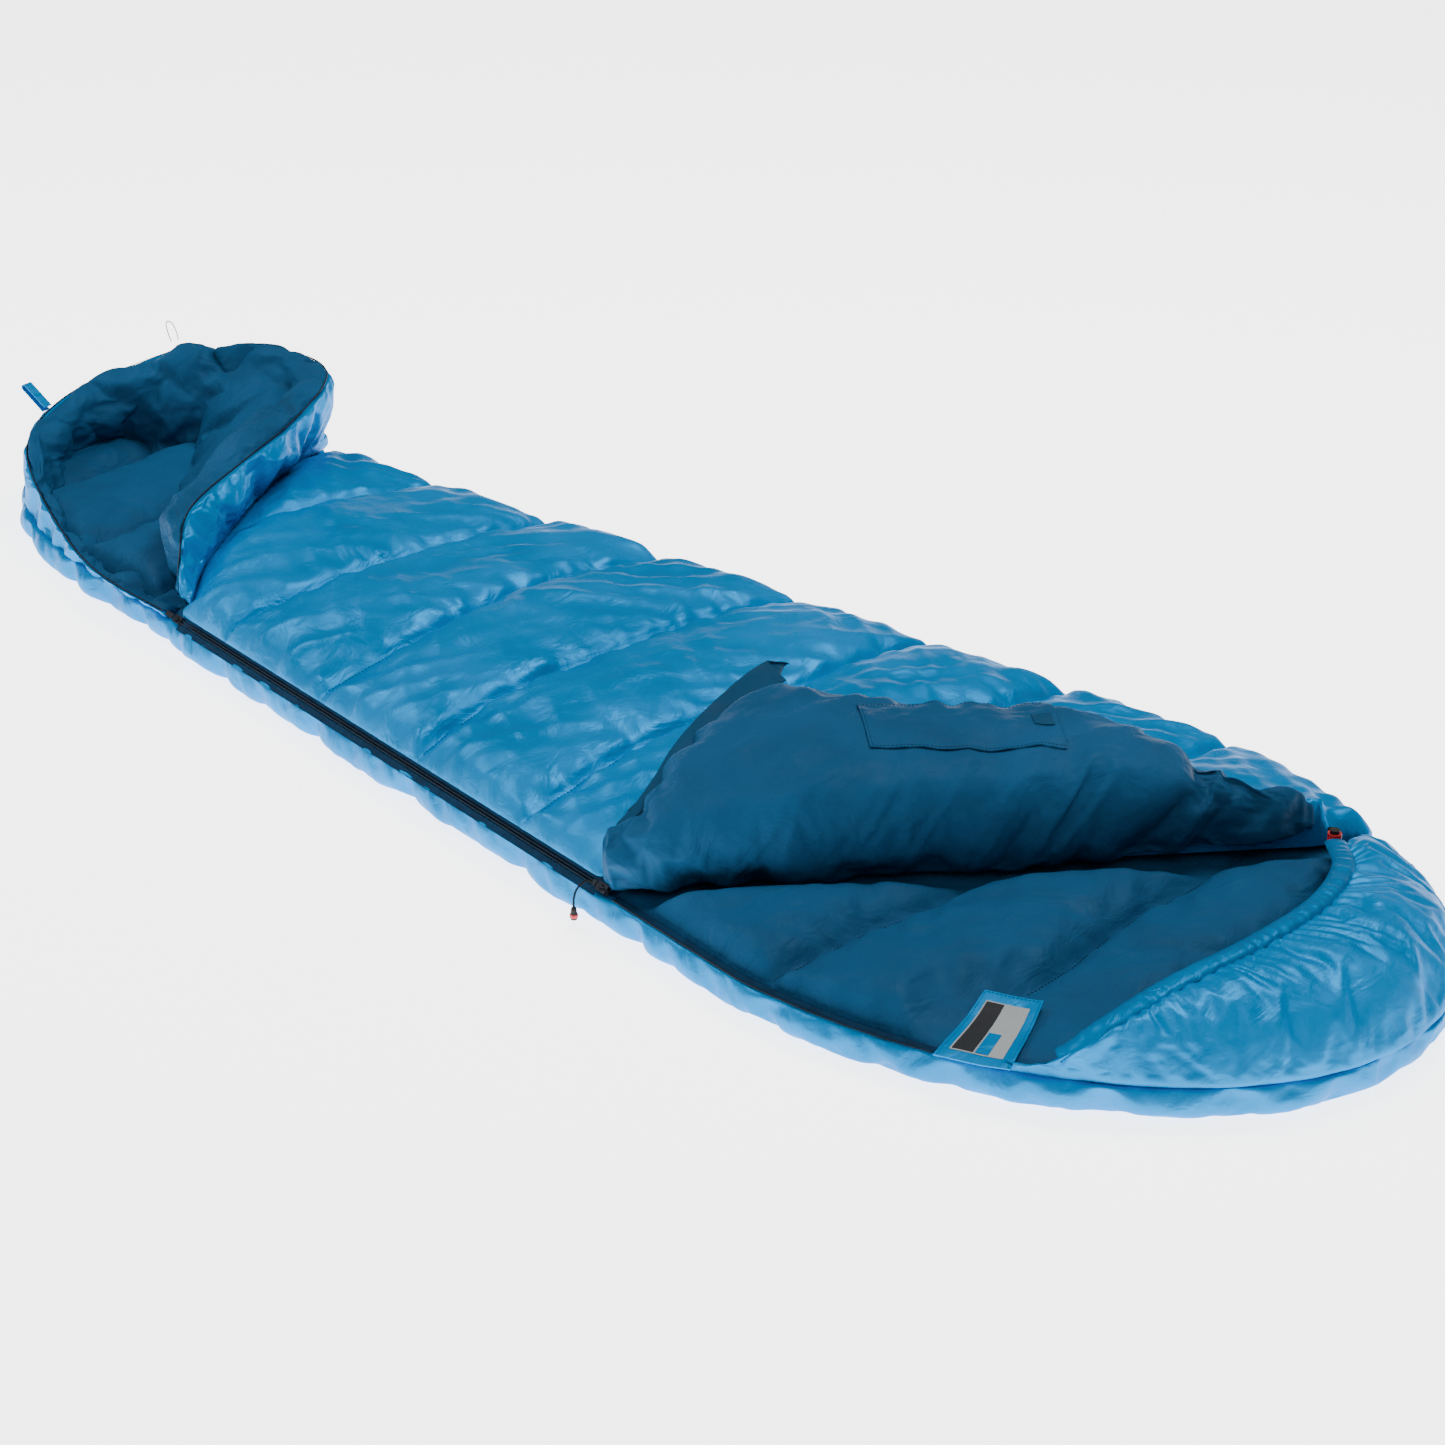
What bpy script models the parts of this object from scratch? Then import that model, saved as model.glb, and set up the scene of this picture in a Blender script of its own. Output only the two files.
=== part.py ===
"""Mummy sleeping bag, laid open: two-way side zip, chest flap folded back, foot flap propped up, hood.

Metres, +Z up. +X runs to the head, -Y is the side with the zip. The origin is on the flat underside.
Every soft panel is a stack of three solids: outer shell, fill and lining.
"""

import math

import bmesh
import bpy
import numpy as np
from mathutils import Matrix, Vector

# ---- driving dimensions -------------------------------------------------------------------
HEAD_END = 0.990        # x of the top of the hood
FOOT_END = -1.300       # x of the foot
WIDEST_X = 0.450        # where the bag is widest, at the shoulders
WIDEST = 0.377          # half the width there
TAPER = 0.105           # how much the half width falls per metre towards the foot
FOOT_ROUND_X = -0.850   # the foot starts to round off here

SKIN = 0.0025           # thickness given to shell and lining cloth with its stitching
GAP = 0.0003            # clearance between touching solids
BOTTOM_TOP = 0.036      # height of the bottom panel
ZIP_HEIGHT = 0.0455     # height of the closed zip's centre line
TOP_UNDER = 0.0475      # underside of the top panel
TOP_EDGE = 0.062        # height of the top panel at its sides
TOP_CROWN = 0.045       # how much higher the top panel is along its middle
EDGE_INSET = 0.010      # top panel's edge, inside the seam line

FOOT_SLIDER_X = -0.660
CHEST_SLIDER_X = 0.223
HOOD_JOINT = (0.700, 0.250)      # where the chest flap's hem meets the hood
FLAP_AXIS_Z = 0.1120             # height of the chest flap's fold
FLAP_LOW, FLAP_HIGH = 0.1135, 0.1560

TAPE_WIDTH, TAPE_THICK = 0.0080, 0.0008
COIL_WIDTH, COIL_THICK = 0.0025, 0.0026
COIL_SLIT = 0.0022               # room between the coil halves for the sliders' wedge

COLOURS = {
    "shell": ((0.006, 0.225, 0.540), 0.38, 0.0),
    "lining": ((0.012, 0.080, 0.165), 0.75, 0.0),
    "fill": ((0.85, 0.86, 0.88), 0.95, 0.0),
    "zip": ((0.010, 0.022, 0.045), 0.55, 0.0),
    "metal": ((0.045, 0.055, 0.075), 0.35, 0.8),
    "cord": ((0.012, 0.012, 0.014), 0.70, 0.0),
    "rubber": ((0.020, 0.018, 0.018), 0.45, 0.0),
    "lock_red": ((0.600, 0.030, 0.035), 0.35, 0.0),
    "label": ((0.420, 0.440, 0.450), 0.50, 0.0),
}


# ---- outlines -----------------------------------------------------------------------------
def half_width(x):
    """Half the bag's width at x, along the seam between its top and bottom."""
    if x >= WIDEST_X:
        t = min((x - WIDEST_X) / (HEAD_END - WIDEST_X), 1.0)
        return WIDEST * math.sqrt(1 - t * t)
    if x >= FOOT_ROUND_X:
        return WIDEST - TAPER * (WIDEST_X - x)
    t = min((FOOT_ROUND_X - x) / (FOOT_ROUND_X - FOOT_END), 1.0)
    return (WIDEST - TAPER * (WIDEST_X - FOOT_ROUND_X)) * (1 - t ** 1.9) ** 0.52


def lerp(a, b, t):
    return a + (b - a) * t


def smooth_path(points, samples):
    """A Catmull-Rom curve through the points, read at equal steps of length."""
    p = np.array(points, float)
    p = np.vstack([2 * p[0] - p[1], p, 2 * p[-1] - p[-2]])
    dense = []
    for i in range(1, len(p) - 2):
        for t in np.linspace(0, 1, 16, endpoint=False):
            dense.append(0.5 * (2 * p[i] + (p[i + 1] - p[i - 1]) * t
                                + (2 * p[i - 1] - 5 * p[i] + 4 * p[i + 1] - p[i + 2]) * t * t
                                + (3 * p[i] - p[i - 1] - 3 * p[i + 1] + p[i + 2]) * t ** 3))
    dense = np.array(dense + [p[-2]])
    length = np.concatenate([[0], np.cumsum(np.linalg.norm(np.diff(dense, axis=0), axis=1))])
    wanted = np.linspace(0, length[-1], samples)
    return np.column_stack([np.interp(wanted, length, dense[:, k]) for k in range(dense.shape[1])])


class Path:
    """A smooth curve that can be read at any u from 0 to 1."""

    def __init__(self, points, samples=200):
        self.points = smooth_path(points, samples)

    def at(self, u):
        s = np.linspace(0, 1, len(self.points))
        return Vector([float(np.interp(u, s, self.points[:, k])) for k in range(3)])

    def along(self, u):
        return (self.at(min(u + 0.01, 1)) - self.at(max(u - 0.01, 0))).normalized()


FOOT_SLIDER = Vector((FOOT_SLIDER_X, -half_width(FOOT_SLIDER_X), ZIP_HEIGHT))
CHEST_SLIDER = Vector((CHEST_SLIDER_X, -half_width(CHEST_SLIDER_X), ZIP_HEIGHT))
ZIP_DIR = (CHEST_SLIDER - FOOT_SLIDER).normalized()
FOLD_DIR = Vector((HOOD_JOINT[0] - CHEST_SLIDER.x, HOOD_JOINT[1] - CHEST_SLIDER.y, 0)).normalized()
FOLD_SIDE = Vector((-FOLD_DIR.y, FOLD_DIR.x, 0))          # from the fold towards the foot

# the foot mouth: the rim of its low jaw, the rim of the flap, and the valley behind the flap
LOW_RIM = Path([(-0.680, -0.262, 0.047), (-0.850, -0.255, 0.052), (-1.000, -0.215, 0.060),
                (-1.155, -0.160, 0.090), (-1.222, -0.110, 0.115), (-1.250, -0.030, 0.142),
                (-1.240, 0.060, 0.162), (-1.195, 0.155, 0.182),
                (-1.110, 0.205, 0.160), (-1.035, 0.225, 0.110)])
LOW_RIM_ZIP_END = 0.82    # how far round that rim the zip runs
FLAP_RIM = Path([(-0.684, -0.244, 0.070), (-0.704, -0.226, 0.105), (-0.768, -0.160, 0.140),
                 (-0.812, -0.040, 0.163), (-0.846, 0.058, 0.178), (-0.915, 0.172, 0.190),
                 (-0.985, 0.222, 0.192), (-1.070, 0.225, 0.190), (-1.165, 0.180, 0.186)])
VALLEY = Path([(-0.672, -0.236, 0.064), (-0.735, -0.165, 0.084), (-0.845, -0.005, 0.092),
               (-0.930, 0.130, 0.092), (-0.985, 0.222, 0.080)])
INNER_FOOT = Path([(-0.735, -0.205, 0.045), (-0.800, -0.165, 0.045), (-0.920, -0.080, 0.045),
                   (-1.045, 0.010, 0.045), (-1.130, 0.100, 0.045)])
# the hood's open edge, from the zip side to the far side
HOOD_RIM = Path([(0.800, -0.285, 0.060), (0.822, -0.255, 0.085), (0.838, -0.170, 0.105),
                 (0.852, -0.050, 0.112), (0.845, 0.060, 0.110), (0.812, 0.150, 0.103),
                 (0.765, 0.205, 0.094)])
# the chest flap's outline: (along the fold, away from the fold)
FLAP_OUTLINE = [(0.012, 0.040), (0.066, 0.095), (0.120, 0.185), (0.170, 0.250), (0.212, 0.288),
                (0.262, 0.232), (0.345, 0.202), (0.440, 0.192), (0.520, 0.168), (0.590, 0.118),
                (0.660, 0.045)]
FLAP_CORNER = 4                  # the index of the flap's free corner in that outline


def fold_x(y):
    """x of the chest fold at y."""
    return CHEST_SLIDER.x + (y - CHEST_SLIDER.y) * FOLD_DIR.x / FOLD_DIR.y


def valley_x(y):
    """x of the valley in front of the foot flap at y."""
    near, far = VALLEY.at(0), VALLEY.at(1)
    t = min(max((y - near.y) / (far.y - near.y), 0), 1.25)
    return lerp(near.x, far.x, t)


def flap_depth(a):
    """How far the chest flap reaches from its fold, at a distance a along the fold."""
    return float(np.interp(a, [p[0] for p in FLAP_OUTLINE], [p[1] for p in FLAP_OUTLINE]))


def on_flap(a, p, z):
    """A point a along the chest fold, p away from it towards the foot, at height z."""
    point = CHEST_SLIDER + FOLD_DIR * a + FOLD_SIDE * p
    return Vector((point.x, point.y, z))


# ---- scene, materials and makers ----------------------------------------------------------
def clear_scene():
    for item in list(bpy.data.objects):
        bpy.data.objects.remove(item, do_unlink=True)


def new_collection(name):
    made = bpy.data.collections.new(name)
    bpy.context.scene.collection.children.link(made)
    return made


clear_scene()
BAG = new_collection("sleeping_bag")
CUTTERS = new_collection("cutters")


def material(name):
    found = bpy.data.materials.get(name)
    if found:
        return found
    colour, roughness, metallic = COLOURS[name]
    made = bpy.data.materials.new(name)
    made.use_nodes = True
    shader = made.node_tree.nodes["Principled BSDF"]
    shader.inputs["Base Color"].default_value = (*colour, 1)
    shader.inputs["Roughness"].default_value = roughness
    shader.inputs["Metallic"].default_value = metallic
    return made


def add_object(name, data, finish, smooth_angle=40):
    made = bpy.data.objects.new(name, data)
    data.materials.append(material(finish))
    BAG.objects.link(made)
    if isinstance(data, bpy.types.Mesh) and smooth_angle:
        data.shade_smooth()
        data.set_sharp_from_angle(angle=math.radians(smooth_angle))
    return made


def padded_solid(name, finish, front, back, steps):
    """A grid bent to front(u, v), with its extruded copy bent to back(u, v): one closed panel."""
    bm = bmesh.new()
    bmesh.ops.create_grid(bm, x_segments=steps[0], y_segments=steps[1], size=0.5)
    sheet = list(bm.verts)
    extruded = bmesh.ops.extrude_face_region(bm, geom=list(bm.faces))["geom"]
    copies = [g for g in extruded if isinstance(g, bmesh.types.BMVert)]
    for verts, surface in ((sheet, front), (copies, back)):
        for vert in verts:
            vert.co = surface(vert.co.x + 0.5, vert.co.y + 0.5)
    bmesh.ops.recalc_face_normals(bm, faces=list(bm.faces))
    if bm.calc_volume(signed=True) < 0:
        bmesh.ops.reverse_faces(bm, faces=list(bm.faces))
    mesh = bpy.data.meshes.new(name)
    bm.to_mesh(mesh)
    bm.free()
    return add_object(name, mesh, finish)


def layers(name, upper, lower, steps, skin=SKIN):
    """Shell, fill and lining between an upper and a lower surface, each clear of the next.

    The shell is on the upper side. upper and lower give (point, outward normal)."""
    def sunk(surface, depth):
        def at(u, v):
            point, normal = surface(u, v)
            return point - normal * depth
        return at
    padded_solid(name + "_shell", "shell", sunk(upper, 0), sunk(upper, skin), steps)
    padded_solid(name + "_fill", "fill", sunk(upper, skin + GAP), sunk(lower, skin + GAP), steps)
    padded_solid(name + "_lining", "lining", sunk(lower, skin), sunk(lower, 0), steps)


def strip(name, finish, path, side, width, thick, steps=12, span=(0, 1), offset=0.0):
    """A flat band of a width beside a path, on the side given by side(u)."""
    def face(lift):
        def at(u, v):
            t = lerp(span[0], span[1], u)
            across = side(t).normalized()
            up = path.along(t).cross(across).normalized()
            return path.at(t) + across * (offset + v * width) + up * lift
        return at
    return padded_solid(name, finish, face(thick / 2), face(-thick / 2), (steps, 1))


def tube(name, finish, points, radius, resolution=2):
    """A round cord along the points, with closed ends."""
    curve = bpy.data.curves.new(name, "CURVE")
    curve.dimensions = "3D"
    curve.bevel_depth = radius
    curve.bevel_resolution = resolution
    curve.use_fill_caps = True
    spline = curve.splines.new("POLY")
    spline.points.add(len(points) - 1)
    for slot, point in zip(spline.points, points):
        slot.co = (*point, 1)
    made = bpy.data.objects.new(name, curve)
    curve.materials.append(material(finish))
    BAG.objects.link(made)
    return made


def block(name, low, high, finish="metal"):
    """A box between two corners."""
    bm = bmesh.new()
    bmesh.ops.create_cube(bm, size=1)
    low, high = Vector(low), Vector(high)
    bmesh.ops.transform(bm, matrix=Matrix.Diagonal((*(high - low), 1)), verts=bm.verts)
    bmesh.ops.translate(bm, vec=(low + high) / 2, verts=bm.verts)
    mesh = bpy.data.meshes.new(name)
    bm.to_mesh(mesh)
    bm.free()
    return add_object(name, mesh, finish, smooth_angle=0)


def cylinder(name, radius, low, high, finish, axis="Z", sides=24, centre=(0, 0, 0)):
    """A round rod from low to high along one axis, through centre."""
    bm = bmesh.new()
    bmesh.ops.create_cone(bm, cap_ends=True, segments=sides, radius1=radius, radius2=radius,
                          depth=high - low)
    bmesh.ops.translate(bm, vec=(0, 0, (low + high) / 2), verts=bm.verts)
    turn = {"X": Matrix.Rotation(math.pi / 2, 3, "Y"), "Y": Matrix.Rotation(-math.pi / 2, 3, "X"),
            "Z": Matrix.Identity(3)}[axis]
    bmesh.ops.rotate(bm, matrix=turn, verts=bm.verts)
    bmesh.ops.translate(bm, vec=centre, verts=bm.verts)
    mesh = bpy.data.meshes.new(name)
    bm.to_mesh(mesh)
    bm.free()
    return add_object(name, mesh, finish)


def combine(target, other, operation="UNION"):
    """Joins other to target, or cuts it out, and keeps other as a hidden guide."""
    cut = target.modifiers.new(other.name, "BOOLEAN")
    cut.operation = operation
    cut.solver = "EXACT"
    cut.object = other
    other.hide_render = True
    other.display_type = "WIRE"
    for group in list(other.users_collection):
        group.objects.unlink(other)
    CUTTERS.objects.link(other)
    return target


def bevelled(target, width, segments=1):
    edge = target.modifiers.new("rounded_edges", "BEVEL")
    edge.width = width
    edge.segments = segments
    edge.limit_method = "ANGLE"
    return target


def frame_at(name, origin, x_axis, y_axis, z_axis):
    """An empty whose axes are those given; pieces parented to it are placed in its frame."""
    empty = bpy.data.objects.new(name, None)
    BAG.objects.link(empty)
    turned = Matrix((x_axis, y_axis, z_axis)).transposed().to_4x4()
    empty.matrix_world = Matrix.Translation(origin) @ turned
    return empty


def put(target, empty):
    """Parents a piece, with everything it is joined to, to an empty."""
    for item in [target] + [m.object for m in target.modifiers if m.type == "BOOLEAN"]:
        item.parent = empty
    return target


# ---- soft panels --------------------------------------------------------------------------
UP = Vector((0, 0, 1))


def bottom_panel():
    """The lower half of the bag: flat on the ground, with its shell turned up along the sides."""
    x_low, x_high = FOOT_END + 0.006, HEAD_END - 0.006

    def x_at(u):
        return lerp(x_low, x_high, (1 - math.cos(math.pi * u)) / 2)

    def tray(inset, floor):
        """Half of a cross section: (distance in from the seam, height), from the middle outwards."""
        return [(0.5, floor), (0.030, floor), (0.004 + inset, 0.013), (inset - 0.003, BOTTOM_TOP)]

    def section(profile):
        def at(u, v):
            x = x_at(u)
            place = abs(v - 0.5) * 2 * (len(profile) - 1)
            k = min(int(place), len(profile) - 2)
            inset = lerp(profile[k][0], profile[k + 1][0], place - k)
            height = lerp(profile[k][1], profile[k + 1][1], place - k)
            width = half_width(x)
            share = max(1 - inset / max(width, 0.05), 0.0) if k or place else 0.0
            if k == 0:
                share = (1 - profile[1][0] / max(width, 0.05)) * place
            return Vector((x, math.copysign(share * width, v - 0.5), height))
        return at

    steps = (24, 6)
    padded_solid("bottom_shell", "shell", section(tray(0, 0)), section(tray(SKIN + 0.001, SKIN)), steps)
    inner = [(0.5, SKIN + GAP), (0.034, SKIN + GAP), (0.0095, 0.014), (0.0040, BOTTOM_TOP - SKIN - GAP)]

    def flat(inset, height):
        def at(u, v):
            x = x_at(u)
            return Vector((x, (2 * v - 1) * max(half_width(x) - inset, 0.004), height))
        return at
    padded_solid("bottom_fill", "fill", flat(0.0040, BOTTOM_TOP - SKIN - GAP), section(inner), steps)
    padded_solid("bottom_lining", "lining", flat(0.0035, BOTTOM_TOP),
                 flat(0.0035, BOTTOM_TOP - SKIN), steps)


def top_panel():
    """The upper half, zipped shut, from the foot flap's valley to the chest fold."""
    fold_room, valley_room = 0.014, 0.012
    far_limit = 0.690

    def plan(u, v):
        side = 2 * v - 1
        x = 0.0
        for _ in range(8):
            y = side * (half_width(x) - EDGE_INSET)
            x = lerp(valley_x(y) + valley_room, min(fold_x(y) - fold_room, far_limit), u)
        return x, side * (half_width(x) - EDGE_INSET)

    def upper(u, v):
        x, y = plan(u, v)
        crown = TOP_CROWN * (1 - abs(2 * v - 1) ** 2.4)
        ends = 1 - 0.25 * max(0, 1 - u / 0.12) ** 2
        return Vector((x, y, TOP_EDGE + crown * ends)), UP

    def lower(u, v):
        x, y = plan(u, v)
        return Vector((x, y, TOP_UNDER)), -UP

    layers("top", upper, lower, (16, 8))


def chest_flap():
    """The unzipped corner of the top panel, folded back over it with its lining up."""
    first, last = FLAP_OUTLINE[0][0], FLAP_OUTLINE[-1][0]
    hinge_room = 0.010

    def surface(height, droop, normal):
        def at(u, v):
            a = lerp(first, last, u)
            p = lerp(hinge_room, flap_depth(a) - 0.002, v)
            edge = max(0, v - 0.6) / 0.4
            return on_flap(a, p, height - droop * edge * edge), normal
        return at
    layers("chest_flap", surface(FLAP_LOW, 0.0, -UP), surface(FLAP_HIGH, 0.018, UP), (14, 5))


def flap_edge_path(z):
    """The chest flap's zip edge, from the slider to its free corner."""
    return Path([on_flap(a, p, z) for a, p in FLAP_OUTLINE[:FLAP_CORNER + 1]])


def hood():
    """The crescent over the head end, sewn down round its outside and open at its rim."""
    near_x, far_x, thick = 0.800, 0.735, 0.026

    def ground(u):
        """The seam round the head end: u runs from the zip side to the far side."""
        turn = lerp(-math.acos((near_x - WIDEST_X) / (HEAD_END - WIDEST_X)),
                    math.acos((far_x - WIDEST_X) / (HEAD_END - WIDEST_X)), u)
        reach = HEAD_END - WIDEST_X - 0.012
        return Vector((WIDEST_X + reach * math.cos(turn), (WIDEST - 0.012) * math.sin(turn), 0.060))

    def surface(sink):
        def at(u, v):
            rim = HOOD_RIM.at(u)
            base = ground(u)
            flat = rim.lerp(base, v)
            swell = 0.034 * math.sin(math.pi * min(v * 1.15, 1.0)) * math.sin(math.pi * (0.12 + 0.76 * u))
            flat.z += swell - sink * (0.55 + 0.45 * min(1, 3 * v, 3 * (1 - v)))
            return flat
        return at

    def paired(sink, normal):
        at = surface(sink)
        return lambda u, v: (at(u, v), normal)
    layers("hood", paired(0, UP), paired(thick, -UP), (14, 5))


def foot_wall():
    """The padded wall round the foot end, standing on the bottom panel: the mouth's low jaw."""
    def outline(u):
        """The seam round the foot, from the zip side round the end to the far side."""
        if u < 0.58:
            x = lerp(-0.800, FOOT_END + 0.010, math.sin(math.pi / 2 * u / 0.58))
            return Vector((x, -half_width(x) + 0.006, 0))
        x = lerp(-1.020, FOOT_END + 0.010, math.cos(math.pi / 2 * (u - 0.58) / 0.42))
        return Vector((x, half_width(x) - 0.006, 0))

    def face(inward, normal_sign):
        def at(u, v):
            base = outline(u)
            rim = LOW_RIM.at(lerp(0.20, 1.0, u))
            centre = Vector((lerp(-0.80, -1.05, min(2 * u, 1)), 0, 0))
            towards = (centre - base).normalized()
            point = base.lerp(Vector((rim.x, rim.y, 0)), v)
            thick = lerp(0.042, 0.020, v)
            bulge = 0.012 * math.sin(math.pi * v)
            point -= towards * bulge
            point += towards * inward * thick
            point.z = lerp(BOTTOM_TOP + 0.001, max(rim.z, BOTTOM_TOP + 0.012), v)
            return point, -towards * normal_sign
        return at
    layers("foot_wall", face(0, 1), face(1, -1), (18, 4))


def foot_flap():
    """The unzipped end of the top panel, propped up as a thick bolster behind the foot mouth."""
    def outer(u, v):
        low, rim = VALLEY.at(u), FLAP_RIM.at(u * 0.86)
        point = low.lerp(rim, v)
        normal = (rim - low).cross(VALLEY.along(u)).normalized()
        return point, normal if normal.x > 0 else -normal

    def inner(u, v):
        base, rim = INNER_FOOT.at(u), FLAP_RIM.at(u * 0.86)
        point = base.lerp(rim, v)
        point.z += 0.020 * math.sin(math.pi * v)
        inward = (base - VALLEY.at(u))
        inward.z = 0.02
        return point + inward.normalized() * (0.012 * (1 - u) + 0.010) * v, inward.normalized()
    layers("foot_flap", outer, inner, (12, 4))


# ---- zip ----------------------------------------------------------------------------------
ZIP_OUT = Vector((0, -math.sqrt(0.5), math.sqrt(0.5)))
ZIP_OUT = (ZIP_OUT - ZIP_DIR * ZIP_OUT.dot(ZIP_DIR)).normalized()
ZIP_ACROSS = ZIP_OUT.cross(ZIP_DIR).normalized()          # from the bottom tape to the top tape


def closed_zip():
    """The zipped stretch: two tapes and two coil halves, straight between the sliders."""
    frame = frame_at("zip_frame", FOOT_SLIDER, ZIP_DIR, ZIP_ACROSS, ZIP_OUT)
    length = (CHEST_SLIDER - FOOT_SLIDER).length
    coil_in = COIL_SLIT / 2
    coil_out = coil_in + COIL_WIDTH
    for name, sign in (("lower", -1), ("upper", 1)):
        for part, start, width, thick in (("coil", coil_in, COIL_WIDTH, COIL_THICK),
                                          ("tape", coil_out + GAP, TAPE_WIDTH, TAPE_THICK)):
            ends = sorted((sign * start, sign * (start + width)))
            put(block(f"zip_{part}_{name}", (0, ends[0], -thick / 2), (length, ends[1], thick / 2),
                      "zip"), frame)


def open_zip(name, path, side, steps, span=(0, 1), offset=0.0):
    """One half of the unzipped chain: a coil at the edge with its tape beside it."""
    strip(f"zip_coil_{name}", "zip", path, side, COIL_WIDTH, COIL_THICK, steps, span, offset)
    strip(f"zip_tape_{name}", "zip", path, side, TAPE_WIDTH, TAPE_THICK, steps, span,
          offset=offset + COIL_WIDTH + GAP)


def open_zips():
    """The four unzipped stretches, along the bottom and along each flap."""
    height = BOTTOM_TOP + COIL_THICK / 2 + 0.0008
    chest_xs = [0.245, 0.337, 0.450, 0.540, 0.620, 0.680]
    chest = Path([(x, -half_width(x) - 0.001, height) for x in chest_xs])
    open_zip("chest_lower", chest, lambda u: Vector((0, 1, 0)), 8)
    rim = Path([LOW_RIM.at(u) + UP * 0.0046 for u in np.linspace(0, 1, 16)])
    inside = Vector((-0.98, 0.0, 0))
    open_zip("foot_lower", rim, lambda u: flat_towards(rim.at(u), inside, rim.along(u)), 24,
             span=(0.035, LOW_RIM_ZIP_END))
    edge = flap_edge_path((FLAP_LOW + FLAP_HIGH) / 2 - 0.004)
    middle = on_flap(0.35, 0.10, 0)
    strip("zip_tape_chest_flap", "zip", edge, lambda u: -flat_towards(edge.at(u), middle, edge.along(u)),
          TAPE_WIDTH, TAPE_THICK, 8, span=(0.10, 0.97), offset=0.006)
    strip("zip_coil_chest_flap", "zip", edge, lambda u: -flat_towards(edge.at(u), middle, edge.along(u)),
          COIL_WIDTH, COIL_THICK, 8, span=(0.10, 0.97), offset=0.006 + TAPE_WIDTH + GAP)
    top = Path([FLAP_RIM.at(u) + UP * 0.0065 for u in np.linspace(0.06, 1, 12)])
    open_zip("foot_flap", top, lambda u: flat_towards(top.at(u), inside, top.along(u)), 20)


def flat_towards(point, goal, along):
    """A level direction square to the path, towards a goal."""
    side = Vector((-along.y, along.x, 0))
    return side if side.dot(goal - point) > 0 else -side


def slider(name, origin, facing):
    """A zip slider: two plates joined by the wedge that runs between the coils, and a bridge."""
    frame = frame_at(name + "_frame", origin, ZIP_DIR * facing, ZIP_ACROSS * facing, ZIP_OUT)
    plate_in, plate_out, half_long, half_wide = 0.0017, 0.0030, 0.0080, 0.0052
    body = block(name, (-half_long, -half_wide, plate_in), (half_long, half_wide, plate_out))
    web = COIL_SLIT / 2 - 0.0004
    parts = [
        block(name + "_back", (-half_long, -half_wide, -plate_out), (half_long, half_wide, -plate_in)),
        block(name + "_wedge", (-0.0075, -web, -0.0020), (0.0075, web, 0.0020)),
        block(name + "_post_a", (-0.0055, -0.0009, 0.0026), (-0.0040, 0.0009, 0.0068)),
        block(name + "_post_b", (0.0040, -0.0009, 0.0026), (0.0055, 0.0009, 0.0068)),
        block(name + "_bridge", (-0.0052, -0.0009, 0.0058), (0.0052, 0.0009, 0.0068)),
    ]
    for part in parts:
        combine(body, part)
    put(body, frame)
    return frame


def puller(name, frame, reach):
    """The slider's pull: a pin under the bridge, two arms and a tab."""
    pin_z, pin_r = 0.0043, 0.0008
    body = cylinder(name, pin_r, -0.0034, 0.0034, "metal", axis="Y", sides=12, centre=(0, 0, pin_z))
    for tag, y in (("a", -0.0030), ("b", 0.0022)):
        combine(body, block(f"{name}_arm_{tag}", (-0.0100, y, pin_z - 0.0006),
                            (0.0006, y + 0.0008, pin_z + 0.0006)))
    combine(body, block(name + "_tab", (-reach, -0.0034, pin_z - 0.0006), (-0.0094, 0.0034, pin_z + 0.0006)))
    return put(body, frame)


def zip_hardware():
    chest = slider("chest_slider", CHEST_SLIDER + ZIP_DIR * 0.006, 1)
    puller("chest_puller", chest, 0.0140)
    foot = slider("foot_slider", FOOT_SLIDER - ZIP_DIR * 0.006, 1)
    puller("foot_puller", foot, 0.0260)
    start = CHEST_SLIDER + ZIP_DIR * (0.006 - 0.0155) + ZIP_OUT * 0.0043
    points = smooth_path([start, start + Vector((-0.004, -0.006, 0.001)),
                          start + Vector((-0.007, -0.0150, -0.006)),
                          start + Vector((-0.008, -0.0190, -0.016)),
                          start + Vector((-0.007, -0.0205, -0.026))], 12)
    tube("chest_pull_cord", "cord", [Vector(p) for p in points], 0.0011)
    end = Vector(points[-1])
    grip = cylinder("chest_pull_end", 0.0042, end.z - 0.0150, end.z - 0.0014, "rubber", sides=16,
                    centre=(end.x, end.y, 0))
    bevelled(grip, 0.0015, 2)


# ---- trims --------------------------------------------------------------------------------
def hood_trim():
    """The tunnel along the hood's rim, the drawcord in it, and the toggle on its free end."""
    tunnel_r, tunnel_hole, cord_r = 0.0055, 0.0024, 0.0013
    rim = [HOOD_RIM.at(u) + Vector((-0.0085, 0, -0.004)) for u in np.linspace(0, 1, 22)]
    outside = tube("hood_tunnel", "shell", rim, tunnel_r, 2)
    solid_hollow(outside, rim, tunnel_hole)
    leave = (rim[-1] - rim[-2]).normalized()
    free_end = rim[-1] + leave * 0.040
    tube("drawcord", "cord", rim[1:] + [free_end], cord_r, 1)
    knot = cylinder("drawcord_knot", 0.0032, -0.0028, 0.0028, "cord", sides=12)
    bevelled(knot, 0.0015, 2)
    knot.location = free_end + leave * 0.0050
    return rim[-1] + leave * 0.020, leave


def solid_hollow(outer, points, hole):
    """Makes a curve tube into a mesh pipe, by cutting a thinner, longer tube out of it."""
    name = outer.name
    pipe = mesh_of(outer, name)
    ends = [points[0] + (points[0] - points[1]).normalized() * 0.002, *points,
            points[-1] + (points[-1] - points[-2]).normalized() * 0.002]
    bore = mesh_of(tube(name + "_bore", "shell", ends, hole, 1), name + "_bore")
    combine(pipe, bore, "DIFFERENCE")


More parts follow.
